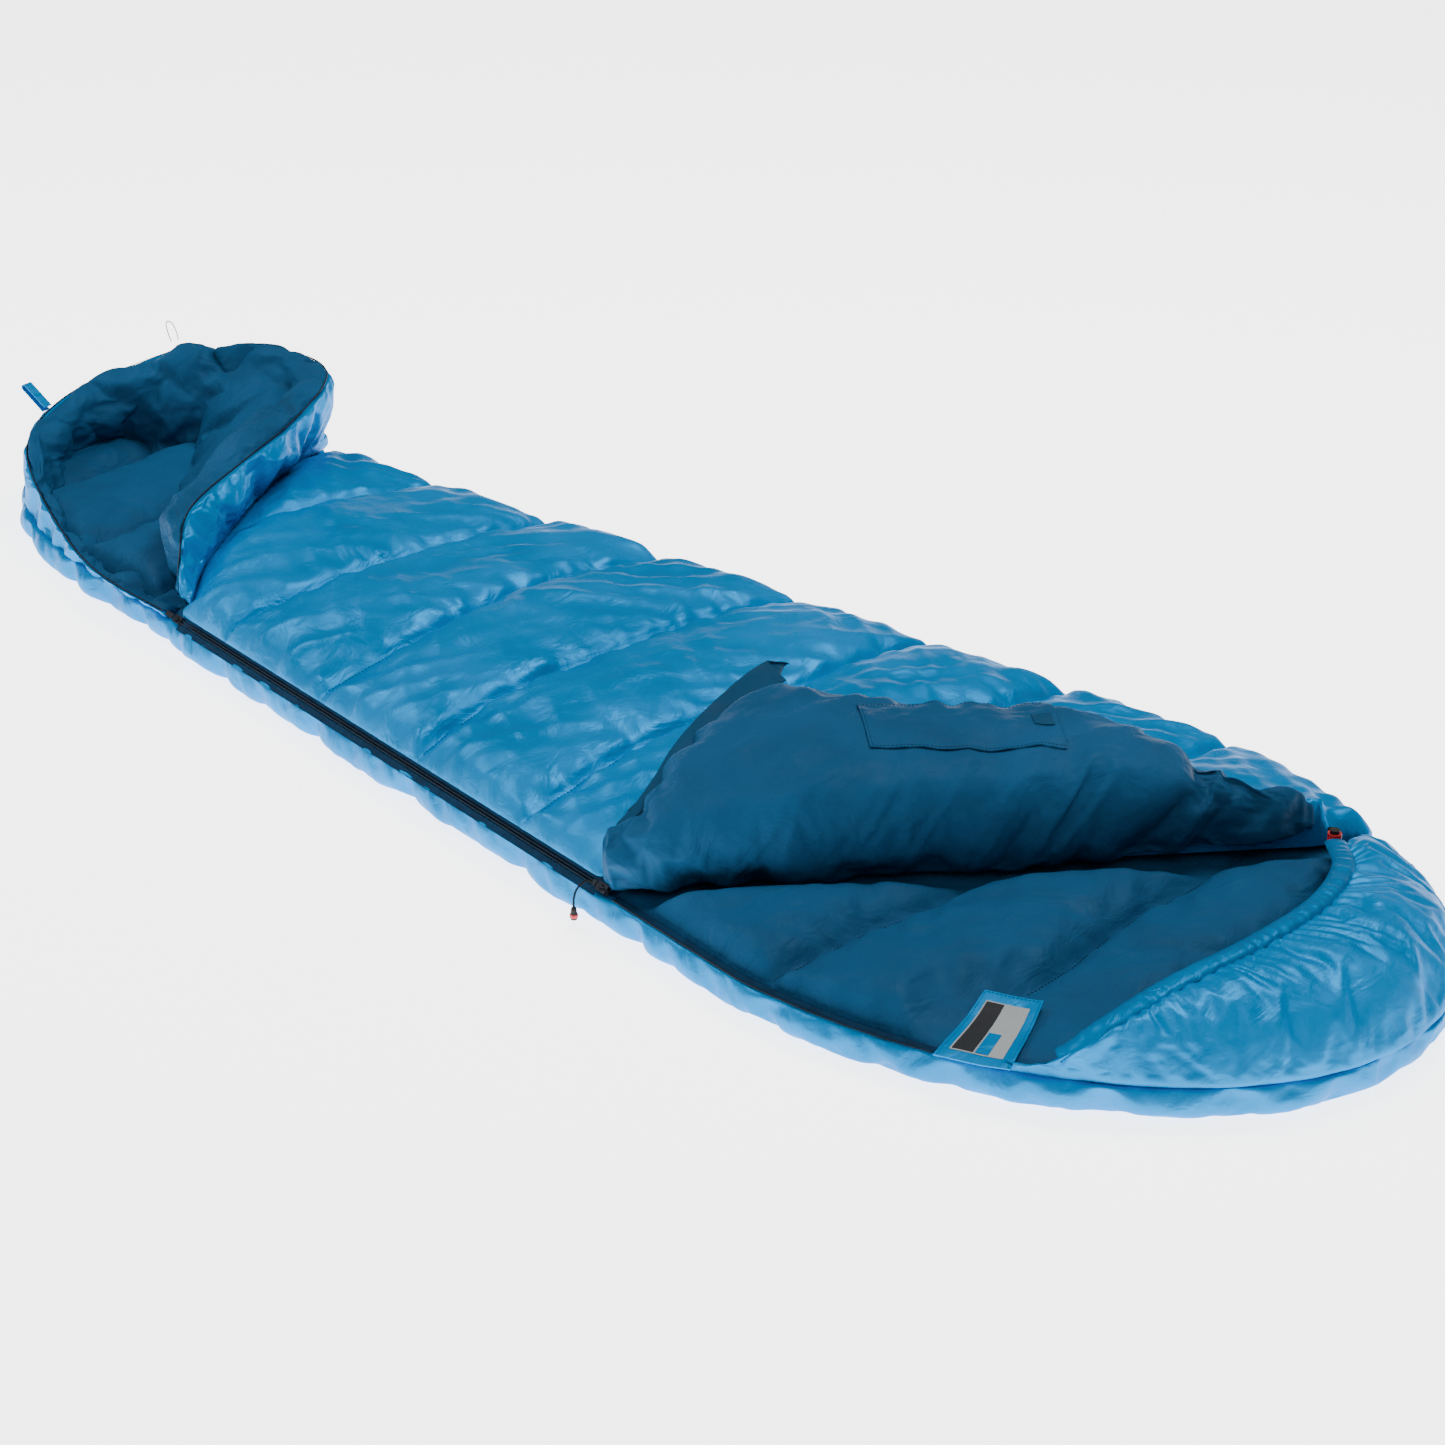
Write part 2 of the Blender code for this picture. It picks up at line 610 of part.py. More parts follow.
def mesh_of(curve_object, name):
    """A closed mesh made from a curve object, which it replaces."""
    graph = bpy.context.evaluated_depsgraph_get()
    mesh = bpy.data.meshes.new_from_object(curve_object.evaluated_get(graph))
    bm = bmesh.new()
    bm.from_mesh(mesh)
    bmesh.ops.remove_doubles(bm, verts=list(bm.verts), dist=0.00001)
    bmesh.ops.recalc_face_normals(bm, faces=list(bm.faces))
    bm.to_mesh(mesh)
    bm.free()
    place = curve_object.matrix_world.copy()
    bpy.data.objects.remove(curve_object)
    made = bpy.data.objects.new(name, mesh)
    made.matrix_world = place
    BAG.objects.link(made)
    return made


def cord_toggle(centre, leave):
    """The red toggle: a barrel with a sprung button, both pierced for the drawcord."""
    along = Vector((leave.x, leave.y, 0)).normalized()
    frame = frame_at("toggle_frame", centre, along, UP.cross(along), UP)
    barrel = cylinder("toggle_barrel", 0.0075, -0.0080, 0.0060, "lock_red")
    combine(barrel, cylinder("toggle_well", 0.0056, -0.0068, 0.0100, "lock_red"), "DIFFERENCE")
    combine(barrel, block("toggle_way", (-0.0120, -0.0020, -0.0034), (0.0120, 0.0020, 0.0030)),
            "DIFFERENCE")
    put(barrel, frame)
    button = cylinder("toggle_button", 0.0052, -0.0038, 0.0100, "rubber")
    combine(button, block("button_way", (-0.0120, -0.0020, -0.0022), (0.0120, 0.0020, 0.0058)),
            "DIFFERENCE")
    put(button, frame)


def flap_trims():
    """The draft strip along the chest flap's zip edge, and the pocket on its lining."""
    edge = flap_edge_path(FLAP_HIGH + 0.0025)
    strip("draft_strip", "lining", edge, lambda u: FOLD_DIR, 0.036, 0.003, 8,
          span=(0.20, 0.97), offset=0.004)
    mouth, back, low, high = 0.500, 0.290, 0.035, 0.145
    floor, inner, roof = FLAP_HIGH + 0.0005, FLAP_HIGH + 0.0052, FLAP_HIGH + 0.0068
    origin = on_flap(0, 0, 0)
    frame = frame_at("pocket_frame", origin, FOLD_DIR, FOLD_SIDE, UP)
    pocket = block("inner_pocket", (back, low, floor), (mouth, high, roof), "lining")
    combine(pocket, block("pocket_room", (back + 0.002, low + 0.002, floor - 0.001),
                          (mouth + 0.010, high - 0.002, inner)), "DIFFERENCE")
    put(pocket, frame)
    hook = block("pocket_hook", (mouth - 0.026, 0.080, roof + GAP), (mouth - 0.004, 0.102, roof + 0.0015),
                 "zip")
    put(hook, frame)


def label_tab():
    """The cloth tab sewn at the zip's top end, lying over the lining, with its woven label."""
    low, high = BOTTOM_TOP + 0.0056, BOTTOM_TOP + 0.0068
    seam_a, seam_b = Vector((0.690, -0.352, 0)), Vector((0.765, -0.322, 0))
    along = (seam_b - seam_a).normalized()
    inward = Vector((-along.y, along.x, 0))
    frame = frame_at("tab_frame", seam_a, along, inward, UP)
    put(block("label_tab", (0, 0.003, low), (0.078, 0.128, high), "shell"), frame)
    put(block("label_patch", (0.010, 0.020, high + GAP), (0.066, 0.112, high + 0.0012), "label"), frame)


def loops():
    """The ribbon loop at the foot to hang the bag by, and the thin elastic loop beside it."""
    foot = Vector((-1.258, -0.060, 0.128))
    outward = Vector((-0.80, -0.16, 0.58)).normalized()
    across = Vector((0.20, -0.98, 0)).normalized()
    rise = outward.cross(across).normalized()
    half_gap, length, width = 0.0042, 0.048, 0.014

    def face(side):
        """One face of the folded ribbon: out along one leg, round the end and back."""
        def at(u, v):
            reach = half_gap + side * 0.0006
            straight = length - half_gap
            turn = math.pi * reach
            s = u * (2 * straight + turn)
            if s < straight:
                x, z = s, reach
            elif s < straight + turn:
                bend = (s - straight) / reach
                x, z = straight + reach * math.sin(bend), reach * math.cos(bend)
            else:
                x, z = straight - (s - straight - turn), -reach
            return foot + outward * x + rise * z + across * (v - 0.5) * width
        return at
    padded_solid("ribbon_loop", "shell", face(1), face(-1), (16, 1))

    base = Vector((-1.218, 0.130, 0.192))
    points = smooth_path([base, base + Vector((-0.006, 0.000, 0.010)), base + Vector((-0.016, 0.004, 0.021)),
                          base + Vector((-0.019, 0.010, 0.024)), base + Vector((-0.014, 0.014, 0.020)),
                          base + Vector((-0.004, 0.013, 0.009)), base + Vector((0.000, 0.012, 0.000))], 22)
    tube("elastic_loop", "cord", [Vector(p) for p in points], 0.0007, 1)


def main():
    bottom_panel()
    top_panel()
    chest_flap()
    hood()
    foot_wall()
    foot_flap()
    closed_zip()
    open_zips()
    zip_hardware()
    centre, leave = hood_trim()
    cord_toggle(centre, leave)
    flap_trims()
    label_tab()
    loops()


main()
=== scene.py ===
# %% [markdown]
# # A mummy sleeping bag, laid open
# A mummy bag is two padded halves joined down one side by a long two-way zip, with a hood at the
# head. This one lies on its back: the top corner at the chest is folded back over the bag and the
# foot end is unzipped and propped up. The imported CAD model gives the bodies, joints and sizes. The
# pieces below stand on it: padded cloth, a coil zip, cords and small hardware.

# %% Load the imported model
import math
import time

import bmesh
import bpy
import numpy as np
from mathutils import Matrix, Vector, noise
from mathutils.bvhtree import BVHTree
from mathutils.kdtree import KDTree


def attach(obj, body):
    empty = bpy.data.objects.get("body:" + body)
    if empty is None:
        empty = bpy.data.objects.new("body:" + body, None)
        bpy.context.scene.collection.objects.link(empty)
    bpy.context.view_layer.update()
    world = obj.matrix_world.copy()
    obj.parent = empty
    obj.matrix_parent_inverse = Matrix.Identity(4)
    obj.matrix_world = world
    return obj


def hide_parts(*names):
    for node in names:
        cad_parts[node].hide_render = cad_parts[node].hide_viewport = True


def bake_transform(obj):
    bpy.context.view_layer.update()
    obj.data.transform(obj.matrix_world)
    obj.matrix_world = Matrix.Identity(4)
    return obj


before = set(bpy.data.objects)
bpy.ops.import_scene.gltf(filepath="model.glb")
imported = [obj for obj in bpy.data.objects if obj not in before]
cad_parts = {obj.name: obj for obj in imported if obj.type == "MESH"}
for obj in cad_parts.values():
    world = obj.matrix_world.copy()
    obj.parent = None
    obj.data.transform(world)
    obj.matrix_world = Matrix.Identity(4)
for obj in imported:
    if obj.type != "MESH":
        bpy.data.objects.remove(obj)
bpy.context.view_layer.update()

# %% [markdown]
# The camera stands off the zip side at the head end, a little above the bag, with a long lens, so
# that the bag runs away from it in gentle perspective. The cords of the bag are short, so nothing
# of them is stored out of view.

# %% Camera
CAMERA_AZIMUTH, CAMERA_ELEVATION, CAMERA_DISTANCE = 45.6, 25.4, 3.542
CAMERA_TARGET = Vector((0.0276, 0.0184, 0.0460))
LENS = 75.5


def direction(azimuth, elevation):
    """The unit vector towards a place in the sky: azimuth 0 is seen from the zip side."""
    a, e = math.radians(azimuth), math.radians(elevation)
    return Vector((math.sin(a) * math.cos(e), -math.cos(a) * math.cos(e), math.sin(e)))


view = direction(CAMERA_AZIMUTH, CAMERA_ELEVATION)
camera = bpy.data.objects.new("camera", bpy.data.cameras.new("camera"))
camera.data.lens = LENS
camera.data.clip_end = 60
camera.location = CAMERA_TARGET + view * CAMERA_DISTANCE
camera.rotation_euler = (-view).to_track_quat("-Z", "Y").to_euler()
bpy.context.scene.collection.objects.link(camera)
bpy.context.scene.camera = camera
print("camera at", [round(c, 3) for c in camera.location])

# %% [markdown]
# Bags like this are shown on a white sweep under big soft lights. Satin cloth needs something
# bright to reflect, so one large panel hangs over the far side, and weaker ones fill the rest.

# %% Floor and studio light
LIGHTS = [
    # azimuth, elevation, distance, side of the square panel, watts
    (165, 66, 3.8, 1.5, 95),
    (-70, 50, 4.2, 1.6, 70),
    (60, 55, 4.6, 2.5, 24),
]


FLOOR_HALF, FLOOR_DROP, FLOOR_GLOW, SKY = 25.0, 0.0006, 3.6, 0.30


def studio_floor():
    half = FLOOR_HALF
    mesh = bpy.data.meshes.new("floor")
    mesh.from_pydata([(-half, -half, 0), (half, -half, 0), (half, half, 0), (-half, half, 0)],
                     [], [(0, 1, 2, 3)])
    floor = bpy.data.objects.new("floor", mesh)
    floor.location.z = -FLOOR_DROP
    pale = bpy.data.materials.new("pale_floor")
    pale.use_nodes = True
    shader = pale.node_tree.nodes["Principled BSDF"]
    shader.inputs["Base Color"].default_value = (0.95, 0.95, 0.95, 1)
    shader.inputs["Emission Color"].default_value = (1, 1, 1, 1)
    shader.inputs["Emission Strength"].default_value = FLOOR_GLOW
    shader.inputs["Roughness"].default_value = 0.9
    shader.inputs["Specular IOR Level"].default_value = 0.0
    mesh.materials.append(pale)
    bpy.context.scene.collection.objects.link(floor)


def studio_light():
    world = bpy.data.worlds.new("studio")
    world.use_nodes = True
    world.node_tree.nodes["Background"].inputs["Color"].default_value = (1, 1, 1, 1)
    world.node_tree.nodes["Background"].inputs["Strength"].default_value = SKY
    bpy.context.scene.world = world
    for number, (azimuth, elevation, distance, side, watts) in enumerate(LIGHTS):
        lamp = bpy.data.lights.new(f"softbox_{number}", "AREA")
        lamp.size = side
        lamp.energy = watts
        holder = bpy.data.objects.new(f"softbox_{number}", lamp)
        towards = direction(azimuth, elevation)
        holder.location = CAMERA_TARGET + towards * distance
        holder.rotation_euler = towards.to_track_quat("Z", "Y").to_euler()
        bpy.context.scene.collection.objects.link(holder)


studio_floor()
studio_light()

# %% [markdown]
# Every finish is built from nodes. `Finish` is a small helper that keeps those recipes short: it
# makes a material with a Principled shader and adds the nodes that feed it. Patterns are read from
# Object coordinates, and since every piece sits at the origin, they are all in metres.

# %% A helper for node materials
class Finish:
    """A material, with helpers that add a node and return its output."""

    def __init__(self, name, roughness, **constants):
        self.material = bpy.data.materials.new(name)
        self.material.use_nodes = True
        self.nodes = self.material.node_tree.nodes
        self.links = self.material.node_tree.links
        self.shader = self.nodes["Principled BSDF"]
        self.shader.inputs["Roughness"].default_value = roughness
        for socket, value in constants.items():
            self.shader.inputs[socket.replace("_", " ")].default_value = value
        self.place = self.nodes.new("ShaderNodeTexCoord").outputs["Object"]

    def put(self, socket, value):
        if isinstance(value, bpy.types.NodeSocket):
            self.links.new(value, socket)
        else:
            socket.default_value = value

    def stretched(self, scale):
        """The object's coordinates, scaled by (x, y, z)."""
        node = self.nodes.new("ShaderNodeMapping")
        self.links.new(self.place, node.inputs["Vector"])
        node.inputs["Scale"].default_value = scale
        return node.outputs["Vector"]

    def noise(self, scale, detail=3.0, distortion=0.0, place=None):
        node = self.nodes.new("ShaderNodeTexNoise")
        self.links.new(place or self.place, node.inputs["Vector"])
        node.inputs["Scale"].default_value = scale
        node.inputs["Detail"].default_value = detail
        node.inputs["Distortion"].default_value = distortion
        return node.outputs["Fac"]

    def bands(self, scale, along, distortion=0.0):
        node = self.nodes.new("ShaderNodeTexWave")
        node.bands_direction = along
        self.links.new(self.place, node.inputs["Vector"])
        node.inputs["Scale"].default_value = scale
        node.inputs["Distortion"].default_value = distortion
        return node.outputs["Fac"]

    def math(self, operation, a, b=0.5):
        node = self.nodes.new("ShaderNodeMath")
        node.operation = operation
        self.put(node.inputs[0], a)
        self.put(node.inputs[1], b)
        return node.outputs[0]

    def ramp(self, value, *stops):
        """Colours or greys at places from 0 to 1."""
        node = self.nodes.new("ShaderNodeValToRGB")
        self.links.new(value, node.inputs["Fac"])
        elements = node.color_ramp.elements
        while len(elements) < len(stops):
            elements.new(0.5)
        for element, (place, colour) in zip(elements, stops):
            element.position = place
            grey = not hasattr(colour, "__len__")
            element.color = (colour, colour, colour, 1) if grey else (*colour, 1)
        return node.outputs["Color"]

    def bump(self, height, strength, distance, below=None):
        node = self.nodes.new("ShaderNodeBump")
        self.links.new(height, node.inputs["Height"])
        node.inputs["Strength"].default_value = strength
        node.inputs["Distance"].default_value = distance
        if below:
            self.links.new(below, node.inputs["Normal"])
        return node.outputs["Normal"]

    def feed(self, **sockets):
        for socket, value in sockets.items():
            self.put(self.shader.inputs[socket.replace("_", " ")], value)
        return self.material


def shade(colour, factor):
    return tuple(c * factor for c in colour)


# %% [markdown]
# The shell is a light polyester taffeta: a tight plain weave with a satin shine that creases in
# small facets. Slow noise shifts the blue a little, finer noise makes the creases, and two crossed
# bands make the threads. The lining is the same weave without the shine.

# %% Shell and lining cloth
SHELL_BLUE = (0.0000, 0.208, 0.500)
LINING_NAVY = (0.0060, 0.0690, 0.1660)
SATIN_TINT = (0.10, 0.52, 0.92)      # the blue of the fibres colours their shine too
THREAD_SCALE = 330.0      # bands a metre, which gives threads of about half a millimetre


def taffeta(name, colour, roughness, crease, shine, satin=0.0, tint=(1.0, 1.0, 1.0)):
    """Woven cloth. `satin` is the share of light that the fibres return in their own colour."""
    cloth = Finish(name, roughness, Specular_IOR_Level=shine, Specular_Tint=(*tint, 1.0), Metallic=satin)
    tone = cloth.noise(7.0, 4.0, 0.6)
    base = cloth.ramp(tone, (0.30, shade(colour, 0.86)), (0.50, colour), (0.72, shade(colour, 1.13)))
    rough = cloth.ramp(cloth.noise(24.0, 3.0), (0.3, roughness - 0.06), (0.7, roughness + 0.08))
    folds = cloth.noise(1.0, 5.0, 1.2, place=cloth.stretched((26.0, 17.0, 24.0)))
    crumple = cloth.noise(95.0, 3.0, 0.8)
    weave = cloth.math("MAXIMUM", cloth.bands(THREAD_SCALE, "X"), cloth.bands(THREAD_SCALE, "Y"))
    normal = cloth.bump(folds, crease, 0.010)
    normal = cloth.bump(crumple, crease * 0.25, 0.0022, normal)
    normal = cloth.bump(weave, 0.12, 0.0002, normal)
    return cloth.feed(Base_Color=base, Roughness=rough, Normal=normal)


shell_cloth = taffeta("shell_taffeta", SHELL_BLUE, 0.42, 0.34, 0.12, 0.36, SATIN_TINT)
lining_cloth = taffeta("lining_weave", LINING_NAVY, 0.60, 0.45, 0.10)
# The channel's cloth is the shell taffeta with its blue darkened to 0.72: painted shade.
shaded_channel_cloth = taffeta("channel_taffeta_painted_shade", (0.0, 0.150, 0.360), 0.45, 0.40, 0.12, 0.32, SATIN_TINT)
strip_cloth = taffeta("draft_strip_weave", (0.003, 0.050, 0.115), 0.60, 0.30, 0.10)

# %% [markdown]
# The zip's tape is a herringbone weave in navy, its coil a moulded nylon, and its sliders are
# painted metal with the paint worn at the edges. The cords are braided, the toggle is moulded.

# %% Trim finishes
def herringbone(name, colour):
    tape = Finish(name, 0.70, Specular_IOR_Level=0.08)
    ribs = tape.math("MULTIPLY", tape.bands(300.0, "DIAGONAL", 0.4), tape.bands(420.0, "X"))
    base = tape.ramp(tape.noise(60.0, 4.0), (0.3, shade(colour, 0.75)), (0.7, shade(colour, 1.30)))
    return tape.feed(Base_Color=base, Normal=tape.bump(ribs, 0.5, 0.0004))


def moulded(name, colour, roughness, coat=0.0):
    plastic = Finish(name, roughness, Coat_Weight=coat, Coat_Roughness=0.2, Specular_IOR_Level=0.25)
    base = plastic.ramp(plastic.noise(130.0, 3.0), (0.3, shade(colour, 0.85)), (0.7, shade(colour, 1.15)))
    rough = plastic.ramp(plastic.noise(300.0, 4.0), (0.3, roughness - 0.07), (0.7, roughness + 0.1))
    grain = plastic.bump(plastic.noise(1400.0, 2.0), 0.20, 0.0002)
    return plastic.feed(Base_Color=base, Roughness=rough, Normal=grain)


def painted_metal(name, colour):
    metal = Finish(name, 0.35, Metallic=0.8)
    wear = metal.noise(420.0, 6.0, 0.3)
    base = metal.ramp(wear, (0.35, colour), (0.62, shade(colour, 1.6)), (0.75, (0.09, 0.10, 0.12)))
    rough = metal.ramp(wear, (0.3, 0.40), (0.75, 0.24))
    return metal.feed(Base_Color=base, Roughness=rough, Normal=metal.bump(wear, 0.15, 0.0002))


def braid(name, colour):
    cord = Finish(name, 0.80, Specular_IOR_Level=0.10)
    plait = cord.math("MULTIPLY", cord.bands(520.0, "DIAGONAL"), cord.bands(520.0, "Z", 0.5))
    # The colour follows the plait's height: painted shade in its grooves and a painted highlight on its
    # ridges.
    base = cord.ramp(plait, (0.1, shade(colour, 0.55)), (0.8, shade(colour, 1.8)))
    return cord.feed(Base_Color=base, Normal=cord.bump(plait, 0.7, 0.0004))


zip_tape = herringbone("zip_tape_weave", (0.0020, 0.0230, 0.0580))
zip_coil = moulded("zip_coil_nylon", (0.0010, 0.0120, 0.0300), 0.42)
slider_metal = painted_metal("slider_paint", (0.030, 0.036, 0.048))
black_cord = braid("black_braid", (0.016, 0.016, 0.018))
black_plastic = moulded("black_rubber", (0.016, 0.015, 0.015), 0.45)
red_plastic = moulded("red_plastic", (0.560, 0.025, 0.030), 0.32, coat=0.3)
shell_thread = braid("blue_thread", (0.010, 0.180, 0.420))
lining_thread = braid("navy_thread", (0.012, 0.065, 0.140))
seam_thread = braid("quilting_thread", (0.000, 0.085, 0.210))
lining_seam_thread = braid("lining_quilting_thread", (0.001, 0.016, 0.042))

# %% [markdown]
# The plan of a mummy bag is widest at the shoulders, tapers straight to the shins and rounds off
# at both ends. These few curves come from the bag's driving sizes, and everything that is sewn to
# the bag's edge reads them. A `Path` is a smooth curve through a few chosen points.

# %% The bag's outline
HEAD_END, FOOT_END = 0.990, -1.300
WIDEST_X, WIDEST, TAPER = 0.450, 0.377, 0.105
FOOT_ROUND_X = -0.850
ZIP_HEIGHT = 0.0455


def half_width(x):
    """Half the bag's width at x. Works on arrays."""
    x = np.asarray(x, float)
    head = np.clip((x - WIDEST_X) / (HEAD_END - WIDEST_X), 0, 1)
    foot = np.clip((FOOT_ROUND_X - x) / (FOOT_ROUND_X - FOOT_END), 0, 1)
    straight = WIDEST - TAPER * (WIDEST_X - np.clip(x, FOOT_ROUND_X, WIDEST_X))
    return straight * np.sqrt(1 - head ** 2) * (1 - foot ** 1.9) ** 0.52


def through(points, samples):
    """A Catmull-Rom curve through the points, read at equal steps of length."""
    p = np.array(points, float)
    p = np.vstack([2 * p[0] - p[1], p, 2 * p[-1] - p[-2]])
    t = np.linspace(0, 1, 16, endpoint=False)[:, None]
    dense = []
    for a, b, c, d in zip(p, p[1:], p[2:], p[3:]):
        dense.append(0.5 * (2 * b + (c - a) * t + (2 * a - 5 * b + 4 * c - d) * t ** 2
                            + (3 * b - a - 3 * c + d) * t ** 3))
    dense = np.vstack(dense + [p[-2:-1]])
    length = np.concatenate([[0], np.cumsum(np.linalg.norm(np.diff(dense, axis=0), axis=1))])
    wanted = np.linspace(0, length[-1], samples)
    return np.column_stack([np.interp(wanted, length, column) for column in dense.T])


class Path:
    """A smooth curve that can be read at any u from 0 to 1."""

    def __init__(self, points, samples=240):
        self.points = through(points, samples)

    def at(self, u):
        s = np.linspace(0, 1, len(self.points))
        return np.column_stack([np.interp(np.atleast_1d(u), s, c) for c in self.points.T])


LOW_RIM = Path([(-0.680, -0.262, 0.047), (-0.850, -0.255, 0.052), (-1.000, -0.215, 0.060),
                (-1.155, -0.160, 0.090), (-1.222, -0.110, 0.115), (-1.250, -0.030, 0.142),
                (-1.240, 0.060, 0.162), (-1.195, 0.155, 0.182),
                (-1.110, 0.205, 0.160), (-1.035, 0.225, 0.110)])
FLAP_RIM = Path([(-0.684, -0.244, 0.070), (-0.704, -0.226, 0.105), (-0.768, -0.160, 0.140),
                 (-0.812, -0.040, 0.163), (-0.846, 0.058, 0.178), (-0.915, 0.172, 0.190),
                 (-0.985, 0.222, 0.192), (-1.070, 0.225, 0.190), (-1.165, 0.180, 0.186)])
VALLEY = Path([(-0.672, -0.236, 0.064), (-0.735, -0.165, 0.084), (-0.845, -0.005, 0.092),
               (-0.930, 0.130, 0.092), (-0.985, 0.222, 0.080)])
HOOD_RIM = Path([(0.800, -0.285, 0.060), (0.822, -0.255, 0.085), (0.838, -0.170, 0.105),
                 (0.852, -0.050, 0.112), (0.845, 0.060, 0.110), (0.812, 0.150, 0.103),
                 (0.765, 0.205, 0.094)])
INNER_FOOT = Path([(-0.735, -0.205, 0.045), (-0.800, -0.165, 0.045), (-0.920, -0.080, 0.045),
                   (-1.045, 0.010, 0.045), (-1.130, 0.100, 0.045)])

# %% The zip's line and the chest flap's fold
FOOT_SLIDER_X, CHEST_SLIDER_X = -0.660, 0.223
HOOD_JOINT = (0.700, 0.250)
FLAP_LOW, FLAP_AXIS = 0.1135, 0.1120
FLAP_OUTLINE = np.array([(0.000, 0.004), (0.012, 0.040), (0.066, 0.095), (0.120, 0.185),
                         (0.170, 0.250), (0.212, 0.288), (0.262, 0.232), (0.345, 0.202),
                         (0.440, 0.192), (0.520, 0.168), (0.590, 0.118), (0.660, 0.045),
                         (0.700, 0.012)])

FOOT_SLIDER = Vector((FOOT_SLIDER_X, -half_width(FOOT_SLIDER_X), ZIP_HEIGHT))
CHEST_SLIDER = Vector((CHEST_SLIDER_X, -half_width(CHEST_SLIDER_X), ZIP_HEIGHT))
ZIP_DIR = (CHEST_SLIDER - FOOT_SLIDER).normalized()
ZIP_OUT = Vector((0, -math.sqrt(0.5), math.sqrt(0.5)))
ZIP_OUT = (ZIP_OUT - ZIP_DIR * ZIP_OUT.dot(ZIP_DIR)).normalized()
ZIP_ACROSS = ZIP_OUT.cross(ZIP_DIR).normalized()
FOLD_DIR = Vector((HOOD_JOINT[0] - CHEST_SLIDER.x, HOOD_JOINT[1] - CHEST_SLIDER.y, 0)).normalized()
FOLD_SIDE = Vector((-FOLD_DIR.y, FOLD_DIR.x, 0))


def on_flap(a, p, z):
    """Points a along the chest fold, p from it towards the foot, at height z."""
    a, p, z = np.broadcast_arrays(a, p, z)
    return np.stack([CHEST_SLIDER.x + FOLD_DIR.x * a + FOLD_SIDE.x * p,
                     CHEST_SLIDER.y + FOLD_DIR.y * a + FOLD_SIDE.y * p, z], axis=-1)


def to_flap(x, y):
    """The place (a, p) of plan points, measured from the chest fold."""
    dx, dy = x - CHEST_SLIDER.x, y - CHEST_SLIDER.y
    return dx * FOLD_DIR.x + dy * FOLD_DIR.y, dx * FOLD_SIDE.x + dy * FOLD_SIDE.y


print("zip runs", round((CHEST_SLIDER - FOOT_SLIDER).length, 3), "m between its sliders")

# %% [markdown]
# Noise gives cloth its unevenness. Blender's own noise always gives the same value at the same
# place, so nothing here changes from one run to the next. `smooth` and `swell_of` are the two
# curves that shape a quilted channel: flat at the seam line, quickly up, then round on top.

# %% Noise and curves
def noise_at(points, scale, seed=0.0):
    """Blender's smooth noise at an array of points, from about -1 to 1."""
    points = np.asarray(points, float)
    flat = points.reshape(-1, points.shape[-1])
    if flat.shape[1] == 2:
        flat = np.column_stack([flat, np.zeros(len(flat))])
    moved = flat * scale + seed
    return np.array([noise.noise(Vector(p)) for p in moved]).reshape(points.shape[:-1])


def creases(x, y, turn, long, short, seed):
    """Sharp-backed folds, from -1 to 1, that run at an angle over the plan."""
    c, s = math.cos(math.radians(turn)), math.sin(math.radians(turn))
    along, across = x * c + y * s, y * c - x * s
    return 1 - 2.6 * np.abs(noise_at(np.column_stack([along / long, across / short]), 1.0, seed))


def smooth(t):
    t = np.clip(t, 0, 1)
    return t * t * (3 - 2 * t)


def unit(vectors):
    """The vectors at length one. Works on one vector or an array of them."""
    return vectors / np.linalg.norm(vectors, axis=-1)[..., None]


def level_unit(vector):
    """The direction of a vector on the plan."""
    return unit(vector * (1, 1, 0))


def swell_of(distance, reach):
    """How full a quilted channel is at a distance from its nearest seam."""
    t = 1 - np.clip(distance / reach, 0, 1)
    return (1 - t * t) ** 0.62


# %% [markdown]
# Two makers build all the padded cloth. `plan_panel` cuts a fine grid to an outline seen from
# above, for panels that lie flat, and closes it with a plain underside. `loft_pad` sweeps a closed
# section along the bag, for rims and rolls. Both return a closed mesh with places for the seams.

# %% Cutting a panel to an outline
SHARP_DEGREES = 65      # edges sharper than this keep a hard line


def inside_outline(outline, x, y):
    """True for the points that lie inside a closed outline."""
    found = np.zeros(x.shape, bool)
    for (x0, y0), (x1, y1) in zip(outline, np.roll(outline, -1, axis=0)):
        if y0 != y1:
            crosses = (y0 > y) != (y1 > y)
            found ^= crosses & (x < x0 + (y - y0) * (x1 - x0) / (y1 - y0))
    return found


def even_steps(outline, step):
    """A closed outline, read again at even steps."""
    loop = np.vstack([outline, outline[:1]])
    length = np.concatenate([[0], np.cumsum(np.linalg.norm(np.diff(loop, axis=0), axis=1))])
    wanted = np.arange(0, length[-1], step)
    return np.column_stack([np.interp(wanted, length, column) for column in loop.T])


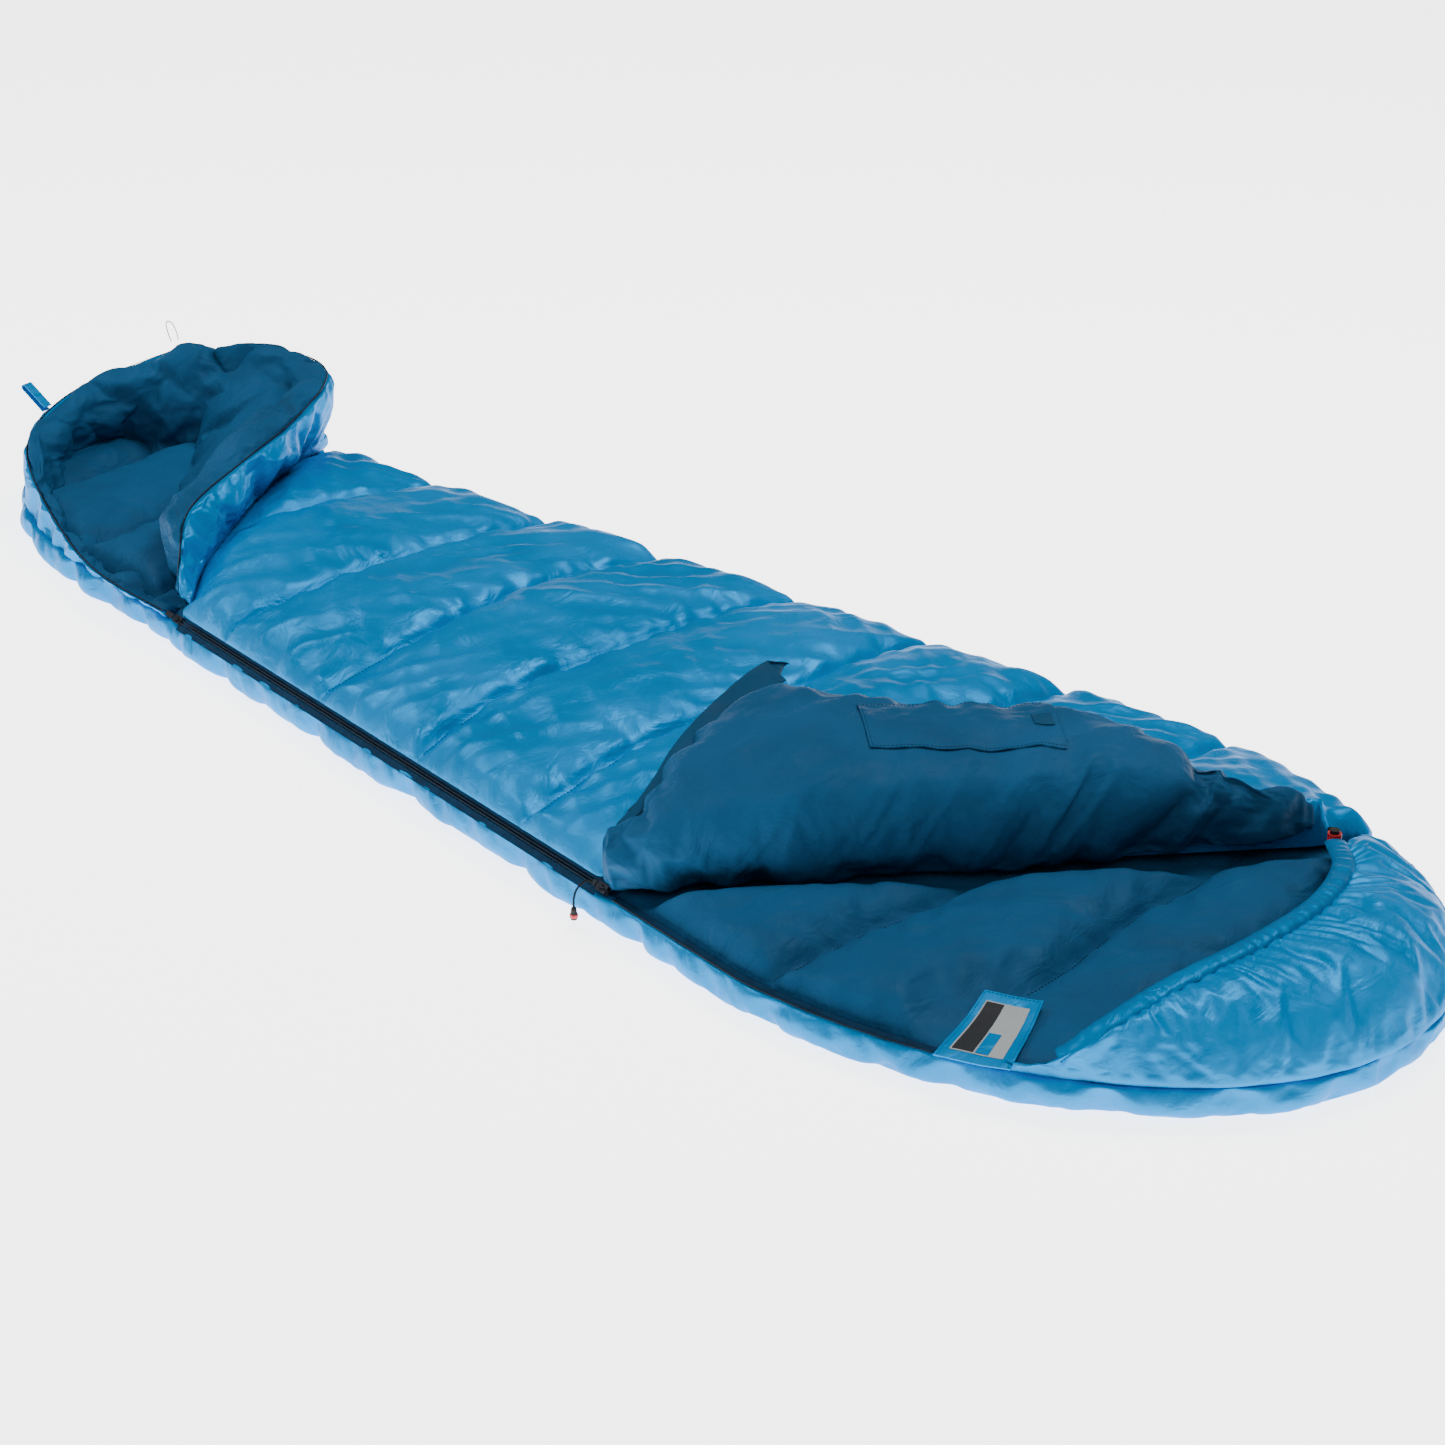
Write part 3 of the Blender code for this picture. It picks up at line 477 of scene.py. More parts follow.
def plan_panel(name, outline, spacing, height, underside, wave=None):
    """A closed pad over an outline. height(x, y, distance to the edge, unbent x) gives its top.

    Returns the object, and edge and line at each of the top's points, which come first."""
    fine = even_steps(np.array(outline, float), 0.001)
    low, high = fine.min(0), fine.max(0)
    columns = np.arange(math.floor(low[0] / spacing) - 3, math.ceil(high[0] / spacing) + 4) * spacing
    rows = np.arange(math.floor(low[1] / spacing) - 1, math.ceil(high[1] / spacing) + 2) * spacing
    line, y = np.meshgrid(columns, rows, indexing="ij")
    x = line + (wave(line, y) if wave else 0)
    tree = KDTree(len(fine))
    for i, p in enumerate(fine):
        tree.insert((p[0], p[1], 0), i)
    tree.balance()
    kept = inside_outline(even_steps(np.array(outline, float), 0.004), x, y)
    edge = np.zeros(x.shape)
    for i, j in np.argwhere(kept):
        edge[i, j] = tree.find((x[i, j], y[i, j], 0))[2]
    kept &= edge > 0.4 * spacing
    full = kept[:-1, :-1] & kept[1:, :-1] & kept[1:, 1:] & kept[:-1, 1:]
    number = np.arange(x.size).reshape(x.shape)
    i, j = np.nonzero(full)
    faces = np.column_stack([number[i, j], number[i + 1, j], number[i + 1, j + 1], number[i, j + 1]])
    used, faces = np.unique(faces, return_inverse=True)
    faces = faces.reshape(-1, 4)
    x, y, edge, line = (a.ravel()[used] for a in (x, y, edge, line))
    rim = rim_of(faces)
    for v in rim:
        (x[v], y[v], _), _, edge[v] = tree.find((x[v], y[v], 0))
        edge[v] = 0
    z = height(x, y, edge, line)
    under = np.column_stack([x[rim], y[rim], np.full(len(rim), underside)])
    points = np.vstack([np.column_stack([x, y, z]), under])
    count = len(x)
    skirt = [(rim[k], count + k, count + (k + 1) % len(rim), rim[(k + 1) % len(rim)])
             for k in range(len(rim))]
    mesh = bpy.data.meshes.new(name)
    mesh.from_pydata(points.tolist(), [], faces.tolist() + skirt)
    close_loop(mesh, count)
    return add_piece(name, mesh), {"edge": edge, "line": line, "top": count}


def rim_of(faces):
    """The outer loop of a sheet of quads, in order, anticlockwise."""
    sides = {(int(a), int(b)) for quad in faces for a, b in zip(quad, np.roll(quad, -1))}
    after = {a: b for a, b in sides if (b, a) not in sides}
    loop = [min(after)]
    while after[loop[-1]] != loop[0] and len(loop) <= len(after):
        loop.append(after[loop[-1]])
    return np.array(loop)


def close_loop(mesh, first):
    """Fills the flat hole whose points are those from number first on."""
    bm = bmesh.new()
    bm.from_mesh(mesh)
    bm.verts.ensure_lookup_table()
    hole = [e for e in bm.edges if e.is_boundary and e.verts[0].index >= first]
    bmesh.ops.triangle_fill(bm, edges=hole, use_beauty=False)
    turn_outwards(bm, mesh)


def turn_outwards(bm, mesh):
    """Turns a closed form's faces outwards and writes it to the mesh."""
    bmesh.ops.recalc_face_normals(bm, faces=list(bm.faces))
    if bm.calc_volume(signed=True) < 0:
        bmesh.ops.reverse_faces(bm, faces=list(bm.faces))
    bm.to_mesh(mesh)
    bm.free()


def add_piece(name, mesh):
    mesh.shade_smooth()
    mesh.set_sharp_from_angle(angle=math.radians(SHARP_DEGREES))
    made = bpy.data.objects.new(name, mesh)
    bpy.context.scene.collection.objects.link(made)
    return made


def closed_piece(name, points, faces, cut_ends=False):
    """A piece from the points and faces of a closed form. cut_ends makes its end caps triangles."""
    mesh = bpy.data.meshes.new(name)
    mesh.from_pydata(points.tolist(), [], faces)
    bm = bmesh.new()
    bm.from_mesh(mesh)
    if cut_ends:
        bmesh.ops.triangulate(bm, faces=[f for f in bm.faces if len(f.verts) > 4])
    turn_outwards(bm, mesh)
    return add_piece(name, mesh)


def ring_faces(rings, sides, closed=False):
    """The quads between rings of points, and two end caps unless the rings close up."""
    number = np.arange(rings * sides).reshape(rings, sides)
    faces = []
    for i in range(rings if closed else rings - 1):
        this, following = number[i], number[(i + 1) % rings]
        faces += np.column_stack([this, following, np.roll(following, -1), np.roll(this, -1)]).tolist()
    if not closed:
        faces += [number[0].tolist()[::-1], number[-1].tolist()]
    return faces


# %% Sweeping a closed section
def section_ring(points, places):
    """A closed Catmull-Rom loop through the points, read at places counted in points."""
    p = np.asarray(points, float)
    n = len(p)
    k = np.floor(places).astype(int) % n
    t = (places - np.floor(places))[:, None]
    a, b, c, d = p[(k - 1) % n], p[k], p[(k + 1) % n], p[(k + 2) % n]
    return 0.5 * (2 * b + (c - a) * t + (2 * a - 5 * b + 4 * c - d) * t ** 2
                  + (3 * b - a - 3 * c + d) * t ** 3)


UP = np.array((0, 0, 1.0))


def section_rows(low, high, side, rows):
    """A section's places. Each row has the share of the way from low to high, then how far the
    place is moved level to one side, then how far up."""
    return [low + (high - low) * share + side * level + UP * rise for share, level, rise in rows]


def ring_places(points, step):
    """Places round a closed section, about a step apart, that always include its points."""
    p = np.asarray(points, float)
    places = []
    for k in range(len(p)):
        cuts = max(1, round(np.linalg.norm(p[(k + 1) % len(p)] - p[k]) / step))
        places += [k + i / cuts for i in range(cuts)]
    return np.array(places)


def loft_pad(name, section, along, step, closed=False, model=None):
    """A closed pad swept through section(u), for the values of u in along.

    Returns the object and, for each of its points, u and the place round its section."""
    rings = [np.asarray(section(u), float) for u in along]
    places = ring_places(rings[len(rings) // 2] if model is None else section(model), step)
    points = np.array([section_ring(r, places) for r in rings])
    m, n = points.shape[:2]
    made = closed_piece(name, points.reshape(-1, 3), ring_faces(m, n, closed))
    return made, {"u": np.repeat(np.asarray(along, float), n), "k": np.tile(places, m)}


# %% Reading and moving a piece's points
def points_of(piece):
    co = np.empty(len(piece.data.vertices) * 3)
    piece.data.vertices.foreach_get("co", co)
    return co.reshape(-1, 3)


def set_points(piece, points):
    piece.data.vertices.foreach_set("co", np.asarray(points, float).ravel())
    piece.data.update()


def normals_of(piece):
    normals = np.empty(len(piece.data.vertices) * 3)
    piece.data.vertices.foreach_get("normal", normals)
    return normals.reshape(-1, 3)


def push_out(piece, amounts):
    """Moves each point out along its normal."""
    set_points(piece, points_of(piece) + normals_of(piece) * amounts[:, None])


def roughen(piece, free, amount, scale, seed):
    """Moves the free points in and out along their normals by noise."""
    push_out(piece, noise_at(points_of(piece), scale, seed) * amount * free)


# %% [markdown]
# Padded cloth gets its look from a cloth simulation. The seams are pinned, the cloth between them
# is cut a little too large and blown up from inside, and it wrinkles towards its seams as the real
# one does. All pieces are simulated in the same 20 frames. How far a point may move is capped, and
# the result replaces the piece's points, so that no simulation is left on it.

# %% Cloth simulation
FRAMES = 20
CLOTH = {"quality": 5, "mass": 0.15, "air_damping": 2.0, "tension_stiffness": 12,
         "compression_stiffness": 12, "shear_stiffness": 6, "tension_damping": 8,
         "compression_damping": 8, "shear_damping": 8, "use_pressure": True,
         "vertex_group_mass": "seams", "pin_stiffness": 1}
waiting = []


def inflate(piece, pinned, pressure, growth, cap, bend=0.25, roof=None):
    """Puts a piece in the queue for the simulation. roof(points) gives the greatest height."""
    group = piece.vertex_groups.new(name="seams")
    group.add([int(v) for v in np.flatnonzero(pinned)], 1.0, "REPLACE")
    cloth = piece.modifiers.new("cloth", "CLOTH")
    cloth.point_cache.frame_start, cloth.point_cache.frame_end = 1, FRAMES
    settings = cloth.settings
    for setting, value in CLOTH.items():
        setattr(settings, setting, value)
    settings.bending_stiffness = bend
    settings.effector_weights.gravity = 0
    settings.uniform_pressure_force = pressure
    settings.shrink_min = -growth
    cloth.collision_settings.use_collision = False
    cloth.collision_settings.use_self_collision = False
    waiting.append((piece, cap, roof))


def simulate():
    """Runs the queue, caps how far each point moved, and keeps the result."""
    started = time.time()
    for number in range(1, FRAMES + 1):
        bpy.context.scene.frame_set(number)
    graph = bpy.context.evaluated_depsgraph_get()
    for piece, cap, roof in waiting:
        rest = points_of(piece)
        moved = np.empty(rest.size)
        piece.evaluated_get(graph).data.vertices.foreach_get("co", moved)
        moved = moved.reshape(-1, 3) - rest
        far = np.maximum(np.linalg.norm(moved, axis=1), 1e-9)
        print(piece.name, "moved up to", round(1000 * far.max(), 1), "mm")
        moved *= (np.minimum(far, cap) / far)[:, None]
        rest = rest + moved
        if roof:
            rest = roof(rest)
        piece.modifiers.clear()
        set_points(piece, rest)
    waiting.clear()
    print("simulated in", round(time.time() - started), "s")


def refine(piece):
    """One subdivision, made real."""
    modifier = piece.modifiers.new("refine", "SUBSURF")
    modifier.levels = modifier.render_levels = 1
    graph = bpy.context.evaluated_depsgraph_get()
    mesh = bpy.data.meshes.new_from_object(piece.evaluated_get(graph))
    piece.modifiers.clear()
    old = piece.data
    piece.data = mesh
    bpy.data.meshes.remove(old)
    mesh.name = piece.name


def finish_piece(piece, material, nodes=(), body=None):
    """Gives a piece its material, the CAD nodes it stands for and its body."""
    piece.data.materials.clear()
    piece.data.materials.append(material)
    if nodes:
        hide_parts(*nodes)
    if body:
        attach(piece, body)
    return piece


# %% [markdown]
# **The top panel** is the upper half of the bag, zipped shut from the foot to the chest. Cross
# seams hold its filling in channels about 21 cm wide. It could be a lofted surface, but its two
# ends are cut on the slant, so it is a grid cut to its outline, with a column on every seam.

# %% The top panel
GRID = 0.006
SEAM_PITCH = 0.210
TOP_SEAMS = [GRID * round((-0.760 + SEAM_PITCH * k) / GRID) for k in range(7)]
TOP_UNDER = 0.0478
ZIP_EDGE_Z, FAR_EDGE_Z = 0.0530, 0.0495


def seam_wave(line, y):
    """How far the quilting runs off its straight line at each place."""
    return 0.008 * np.sin(7.0 * y + 9.0 * line) + 0.004 * np.sin(17.0 * y - 6.0 * line + 1.0)


def seam_distance(line, seams):
    return np.min([np.abs(line - s) for s in seams], axis=0)


def top_outline():
    near = [(x, -half_width(x) + 0.0048) for x in np.linspace(-0.672, 0.220, 60)]
    a = np.linspace(0.010, 0.765, 60)
    fold = on_flap(a, np.full(60, 0.004), 0)[:, :2].tolist()
    far = [(x, half_width(x) - 0.0015) for x in np.linspace(0.735, -0.985, 110)]
    valley = VALLEY.at(np.linspace(1, 0, 40))[:, :2].tolist()
    return np.array(near + fold + far + valley)


def top_height(x, y, edge, line):
    share = np.abs(y) / half_width(x)
    side = np.where(y < 0, ZIP_EDGE_Z, FAR_EDGE_Z)
    base = side + (0.086 - side) * (1 - share ** 2.6)
    seam = seam_distance(line, TOP_SEAMS)
    gap = np.minimum(seam, edge * 1.6)
    pocket = 0.8 + 0.5 * noise_at(np.column_stack([x, y]), 5.0, 3.0)
    full = 0.031 * swell_of(gap, 0.090) * pocket
    folds = 0.0042 * creases(x, y, 62, 0.16, 0.045, 3.0) + 0.0030 * creases(x, y, -28, 0.12, 0.040, 5.0)
    pucker = 0.0085 * noise_at(np.column_stack([x * 8, y * 44]), 1.0, 7.0) * np.exp(-seam / 0.026)
    pucker += 0.0060 * noise_at(np.column_stack([x * 44, y * 8]), 1.0, 9.0) * np.exp(-edge / 0.026)
    z = base + full + (folds + pucker) * smooth(gap / 0.010)
    a, p = to_flap(x, y)
    fold_z = np.interp(a, [0.0, 0.10, 0.20], [0.056, 0.092, 0.1085])
    z += (fold_z - z) * np.exp(-np.clip(p - 0.004, 0, 1) / 0.030) * (a < 0.78)
    u = np.clip((y + 0.236) / 0.458, 0, 1)
    valley_z = np.interp(u, [0, 0.15, 0.5, 0.8, 1.0], [0.060, 0.082, 0.092, 0.090, 0.060])
    valley_x = np.interp(u, [0, 1], [-0.672, -0.985])
    return z + (valley_z - z) * np.exp(-np.clip(x - valley_x, 0, 1) / 0.020)


def under_flap(points):
    """Keeps the top panel below the folded flap."""
    a, p = to_flap(points[:, 0], points[:, 1])
    depth = np.interp(a, FLAP_OUTLINE[:, 0], FLAP_OUTLINE[:, 1], left=0, right=0)
    inside = (a > 0.0) & (a < 0.70) & (p < depth + 0.004)
    points[inside, 2] = np.minimum(points[inside, 2], FLAP_LOW - 0.0020)
    return points


top, spots = plan_panel("top_panel", top_outline(), GRID, top_height, TOP_UNDER, seam_wave)
pinned = np.ones(len(top.data.vertices), bool)
pinned[:spots["top"]] = (seam_distance(spots["line"], TOP_SEAMS) < 0.2 * GRID) | (spots["edge"] == 0)
inflate(top, pinned, 4.0, 0.09, 0.022, bend=0.08, roof=under_flap)
print("top panel:", len(top.data.vertices), "points")

# %% [markdown]
# **The lower half** is a tray. Its outside is one strip of shell cloth that runs round the whole
# bag: up from the ground, out over the filling and in to the zip. It is swept as a closed section
# along the outline, pulled in where a cross seam of the quilting ends, and simulated.

# %% The side wall round the bag
EDGE_STEP = 0.0065
edge_x = WIDEST_X + (HEAD_END - 0.004 - WIDEST_X) * np.sin(np.linspace(0, math.pi / 2, 90))
foot_x = FOOT_ROUND_X + (FOOT_END + 0.004 - FOOT_ROUND_X) * np.sin(np.linspace(math.pi / 2, 0, 90))
side_x = np.concatenate([foot_x, np.linspace(FOOT_ROUND_X, WIDEST_X, 60)[1:-1], edge_x])
near_side = np.column_stack([side_x, -half_width(side_x)])
edge_loop = even_steps(np.vstack([near_side, near_side[::-1] * (1, -1)]), EDGE_STEP)
edge_out = np.roll(edge_loop, -2, axis=0) - np.roll(edge_loop, 2, axis=0)
edge_out = np.column_stack([edge_out[:, 1], -edge_out[:, 0]])
edge_out /= np.linalg.norm(edge_out, axis=1)[:, None]
END_SEAMS = [-1.290, -1.235, -1.100, -0.945, 0.700, 0.830, 0.925, 0.978]


def wall_section(index):
    """The side wall's closed section at one step of the outline."""
    place, out = edge_loop[index], edge_out[index]
    near = place[1] < 0
    zipped = smooth((place[0] - FOOT_SLIDER_X) / 0.03) * smooth((CHEST_SLIDER_X - place[0]) / 0.03)
    sewn = smooth((place[0] + 0.985) / 0.03) * smooth((0.735 - place[0]) / 0.03)
    reach = 0.0060 * zipped if near else 0.0
    top = 0.0365 + 0.0042 * zipped if near else 0.0365 + 0.0110 * sewn
    seam = seam_distance(place[0], TOP_SEAMS + END_SEAMS)
    full = 1.0 - 0.75 * math.exp(-(seam / 0.016) ** 2)
    full *= 1.0 + 0.35 * noise.noise(Vector((place[0] * 6, place[1] * 6, 4.0)))
    pairs = [(reach - 0.012, top - 0.004), (reach, top), (reach + 0.0065 * full, top * 0.72),
             (reach + 0.0060 * full, top * 0.36), (-0.006 - 0.006 * (1 - full), 0.0014),
             (-0.045, 0.0006), (-0.045, 0.0050), (-0.024, 0.0200)]
    return [(*(place + out * o), z) for o, z in pairs]


def never_below_floor(points):
    points[:, 2] = np.maximum(points[:, 2], 0.0003)
    return points


wall, spots = loft_pad("side_wall", wall_section, range(len(edge_loop)), 0.0055, closed=True)
inner_points = (spots["k"] <= 1.0) | (spots["k"] >= 5.0)
roughen(wall, (~inner_points).astype(float), 0.0030, 24.0, 11.0)
inflate(wall, inner_points, 5.0, 0.03, 0.009, bend=0.8, roof=never_below_floor)
print("side wall:", len(edge_loop), "steps round the bag")

# %% [markdown]
# **The ground panel** is the flat underside that the bag lies on. **The bottom lining** above it is
# quilted like the top, in softer cloth, and shows in the chest opening and inside the foot.

# %% The ground panel and the bottom lining
def inset_outline(inset, low=-2.0, high=2.0):
    x = np.clip(np.concatenate([side_x, side_x[::-1]]), low, high)
    side = np.concatenate([-np.ones(len(side_x)), np.ones(len(side_x))])
    y = side * np.maximum(half_width(x) - inset, 0.002)
    shrink = 1 - inset / 1.14
    return np.column_stack([(x + 0.155) * shrink - 0.155, y])


ground, _ = plan_panel("ground_panel", inset_outline(0.040), 0.022,
                       lambda x, y, edge, line: np.full(len(x), 0.0055), 0.0004)
LINING_GRID = 0.0075
LINING_SEAMS = [LINING_GRID * round(x / LINING_GRID)
                for x in (-1.160, -0.955, -0.745, -0.535, -0.325, -0.115, 0.095, 0.285, 0.475, 0.655,
                          0.805)]


def lining_wave(line, y):
    return 0.020 * np.sin(5.2 * y + 3.0 * line + 0.7) + 0.005 * np.sin(23.0 * y + 8.0 * line)


def lining_height(x, y, edge, line):
    seam = seam_distance(line, LINING_SEAMS)
    gap = np.minimum(seam, edge * 1.3)
    open_air = lining_freedom(x, y)
    full = swell_of(gap, 0.072) * (0.005 + 0.025 * open_air)
    pucker = noise_at(np.column_stack([x * 10, y * 44]), 1.0, 17.0) * 0.0100 * smooth(gap / 0.008)
    lumps = 0.0044 * creases(x, y, 40, 0.13, 0.045, 23.0) + 0.0036 * creases(x, y, -60, 0.10, 0.035, 27.0)
    lumps = (lumps - 0.001) * smooth(gap / 0.03)
    ripples = (pucker * np.exp(-gap / 0.025) + lumps) * open_air
    return 0.0350 + 0.0015 * smooth(edge / 0.01) + full + ripples


def lining_freedom(x, y):
    """1 where the bag is open above its bottom lining, 0 where the top panel or the label lies."""
    p = to_flap(x, y)[1]
    chest = smooth((-p - 0.030) / 0.030)
    tab = smooth(np.hypot((x - 0.725) / 0.075, (y + 0.30) / 0.105) - 0.75)
    foot = smooth((-0.720 - x) / 0.06)
    return np.maximum(chest * tab, foot)


def lining_roof(points):
    free = lining_freedom(points[:, 0], points[:, 1])
    points[:, 2] = np.minimum(points[:, 2], 0.0400 + 0.029 * free)
    return points


floor_lining, spots = plan_panel("bottom_lining_pad", inset_outline(0.0105), LINING_GRID, lining_height,
                                 0.0060, lining_wave)
pinned = np.ones(len(floor_lining.data.vertices), bool)
pinned[:spots["top"]] = (seam_distance(spots["line"], LINING_SEAMS) < 0.2 * LINING_GRID) \
    | (spots["edge"] == 0)
inflate(floor_lining, pinned, 2.5, 0.08, 0.014, bend=0.08, roof=lining_roof)
print("bottom lining:", len(floor_lining.data.vertices), "points")

# %% [markdown]
# **The chest flap** is the unzipped corner of the top panel, folded back with its lining up. The
# lining comes out from under the top panel, rolls over the fold and covers the flap. It is swept
# along the fold: each section starts inside the bag, rounds the roll and runs to the hem. The shell
# side faces down here and up when the bag is closed, so it has its own quilting.

# %% The chest flap
FOLD_LENGTH = 0.766
FLAP_MIDDLE = 0.1270


def flap_sink(a):
    """The flap comes down to the zip at the slider, and to the hood at its far end."""
    return np.interp(a, [0.0, 0.05, 0.10, 0.16, 0.22, 0.58, 0.68, 0.766],
                     [0.062, 0.040, 0.019, 0.006, 0.0, 0.006, 0.026, 0.058])


def flap_depth(a):
    return np.interp(a, FLAP_OUTLINE[:, 0], FLAP_OUTLINE[:, 1], right=0.010)


def flap_lining_section(a):
    depth, sink = flap_depth(a), flap_sink(a)
    roll = np.interp(a, [0.0, 0.06, 0.16, 0.50, 0.72, 0.766], [0.15, 0.75, 1.1, 0.8, 0.30, 0.10])
    crest = 0.1520 - sink
    hem = min(0.030, 0.4 * depth)
    low = np.interp(a, [0.0, 0.45, 0.70, 0.766], [0.0465, 0.0465, 0.064, 0.074])
    tall = 0.140 - sink - low
    pairs = [(-0.001, low), (-0.016 * roll, low + 0.002), (-0.034 * roll, low + 0.30 * tall),
             (-0.030 * roll, low + 0.66 * tall), (-0.010 * roll, crest - 0.010),
             (0.25 * depth, crest + 0.002), (0.55 * depth, crest + 0.004), (depth - hem, crest - 0.001),
             (depth - 0.3 * hem, crest - 0.007), (depth, crest - 0.015),
             (depth - 0.3 * hem, FLAP_MIDDLE + 0.001 - sink), (0.55 * depth, FLAP_MIDDLE + 0.001 - sink),
             (0.16 * depth, FLAP_MIDDLE - sink), (-0.002, low + 0.75 * tall),
             (-0.003, low + 0.25 * tall)]
    return on_flap(a, *np.array(pairs).T)


flap_steps = np.linspace(0.003, FOLD_LENGTH, 150)
flap_lining, spots = loft_pad("chest_flap_lining_pad", flap_lining_section, flap_steps, 0.0055, model=0.3)
inner_points = (spots["k"] <= 0.5) | (spots["k"] >= 9.5) | (spots["u"] < 0.012) | (spots["u"] > 0.755)
seam_lines = np.abs(spots["k"] - 8.0) < 0.1
flap_points = points_of(flap_lining)
flap_x, flap_lean = flap_points[:, 0], flap_points[:, 1] - flap_points[:, 2]
flap_folds = 0.0048 * creases(flap_x, flap_lean, 128, 0.22, 0.060, 31.0)
flap_folds += 0.0030 * creases(flap_x, flap_lean, 75, 0.14, 0.045, 37.0)
push_out(flap_lining, flap_folds * ~inner_points)
roughen(flap_lining, (~inner_points).astype(float), 0.0030, 30.0, 35.0)
inflate(flap_lining, inner_points | seam_lines, 3.0, 0.09, 0.014, bend=0.08)


def flap_shell_outline():
    a = np.linspace(0.008, 0.735, 150)
    depth = np.maximum(flap_depth(a) - 0.007, 0.006)
    outer = on_flap(a, depth, 0)[:, :2]
    inner = on_flap(a[::-1], np.full(len(a), 0.003), 0)[:, :2]
    return np.vstack([outer, inner])


def flap_shell_height(x, y, edge, line):
    seam = seam_distance(line, TOP_SEAMS)
    gap = np.minimum(seam, edge)
    return FLAP_MIDDLE + 0.0006 + 0.0118 * swell_of(gap, 0.060)


flap_shell, spots = plan_panel("chest_flap_shell_pad", flap_shell_outline(), 0.0075, flap_shell_height,
                               FLAP_MIDDLE, seam_wave)
turned = points_of(flap_shell)
turned[:, 2] = 2 * FLAP_MIDDLE - turned[:, 2] - flap_sink(to_flap(turned[:, 0], turned[:, 1])[0])
set_points(flap_shell, turned)
flap_shell.data.flip_normals()
print("chest flap:", len(flap_lining.data.vertices) + len(flap_shell.data.vertices), "points")

# %% [markdown]
# **The foot flap** is the other unzipped end of the top panel, propped up as a thick bolster. Its
# shell is the bright face behind the valley, its lining the dark roll along the rim. Both are swept
# along the valley, and share the wall between them.

# %% The foot flap
RIM_END = 0.93      # how far along the rim the flap reaches


def foot_flap_parts(u):
    """The flap's lowest line, its rim, the foot of its lining and the way inward."""
    low, rim, base = VALLEY.at(u)[0], FLAP_RIM.at(u * RIM_END)[0], INNER_FOOT.at(u)[0]
    return low, rim, base, level_unit(base - low)


def foot_shell_section(u):
    low, rim, _, inward = foot_flap_parts(u)
    full = 0.35 + 0.65 * smooth(u / 0.25)
    return section_rows(low, rim, inward, [
        (0, 0, -0.010), (0, -0.004, 0.004), (0.38, -0.016 * full, 0), (0.74, -0.015 * full, 0),
        (1, -0.003, -0.002), (1, 0.004, -0.003), (0.5, 0.008, 0), (0, 0.012, -0.010)])


def foot_lining_section(u):
    low, rim, base, inward = foot_flap_parts(u)
    full = 0.25 + 0.75 * smooth(u / 0.30)
    outside = section_rows(rim, base, inward, [
        (0, 0.005, -0.003), (0, 0.024 * full, 0.011 * full), (0, 0.052 * full, 0.002),
        (0, 0.064 * full, -0.030 * full), (0.55, 0.020 * full, 0), (0.8, 0.006, 0),
        (1, 0, -0.004), (1, -0.02, -0.006)])
    return outside + section_rows(low, rim, inward, [(0, 0.022, -0.012), (0.5, 0.010, 0)])


PAD_STEP = 0.0055


def puffed(name, section, along, model, held, rough, swelling):
    """A swept pad, roughened and put in the queue for the simulation.

    It is held at the section's first places up to held[0], and from held[1] on."""
    piece, spots = loft_pad(name, section, along, PAD_STEP, model=model)
    fixed = (spots["k"] <= held[0]) | (spots["k"] >= held[1])
    roughen(piece, (~fixed).astype(float), *rough)
    inflate(piece, fixed, *swelling)
    return piece


foot_steps = np.linspace(0.0, 1.0, 105)
foot_shell = puffed("foot_flap_shell_pad", foot_shell_section, foot_steps, 0.6, (1, 4),
                    rough=(0.0050, 14.0, 41.0), swelling=(4.0, 0.09, 0.016, 0.08))
foot_lining = puffed("foot_flap_lining_pad", foot_lining_section, foot_steps, 0.6, (0, 6),
                     rough=(0.0070, 12.0, 43.0), swelling=(3.0, 0.11, 0.016, 0.08))

# %% [markdown]
# **The foot wall** is the low jaw of the foot opening: a padded wall that stands round the end of
# the bag, shell outside and lining inside. The zip runs along its rim.

# %% The foot wall
WALL_HEIGHT = 0.14


def foot_outline(u):
    """The seam round the foot, from the zip side round the end to the far side."""
    if u < 0.58:
        x = -0.700 + (FOOT_END + 0.006 + 0.700) * math.sin(math.pi / 2 * u / 0.58)
        return np.array([x, -float(half_width(x)) + 0.004, 0.034])
    x = -0.975 + (FOOT_END + 0.006 + 0.975) * math.cos(math.pi / 2 * (u - 0.58) / 0.42)
    return np.array([x, float(half_width(x)) - 0.004, 0.034])


def foot_wall_parts(u):
    """The wall's foot, its rim, the way inward and how tall it is, as a share."""
    base = foot_outline(u)
    rim = LOW_RIM.at(0.02 + 0.98 * u)[0]
    centre = np.array([-0.78 - 0.27 * min(2 * u, 1), 0.02, 0])
    return base, rim, level_unit(centre - base), (rim[2] - base[2]) / WALL_HEIGHT


def jaw_shell_section(u):
    base, rim, inward, tall = foot_wall_parts(u)
    return section_rows(base, rim, inward, [
        (0, 0.010, 0), (0, 0, 0), (0.35, -0.007 * tall, 0), (0.72, -0.007 * tall, 0),
        (1, -0.002, 0), (1, 0.004, -0.002), (0.5, 0.010, 0)])


def jaw_lining_section(u):
    base, rim, inward, tall = foot_wall_parts(u)
    return section_rows(base, rim, inward, [
        (1, 0.005, -0.002), (1, 0.010 + 0.014 * tall, 0.004 * tall),
        (1, 0.016 + 0.030 * tall, -0.018 * tall), (0.5, 0.020 + 0.040 * tall, 0),
        (0.22, 0.028 + 0.044 * tall, 0), (0, 0.040 + 0.060 * tall, 0.006), (0, 0.030, 0.001),
        (0, 0.014, 0.002), (0.5, 0.013, 0)])


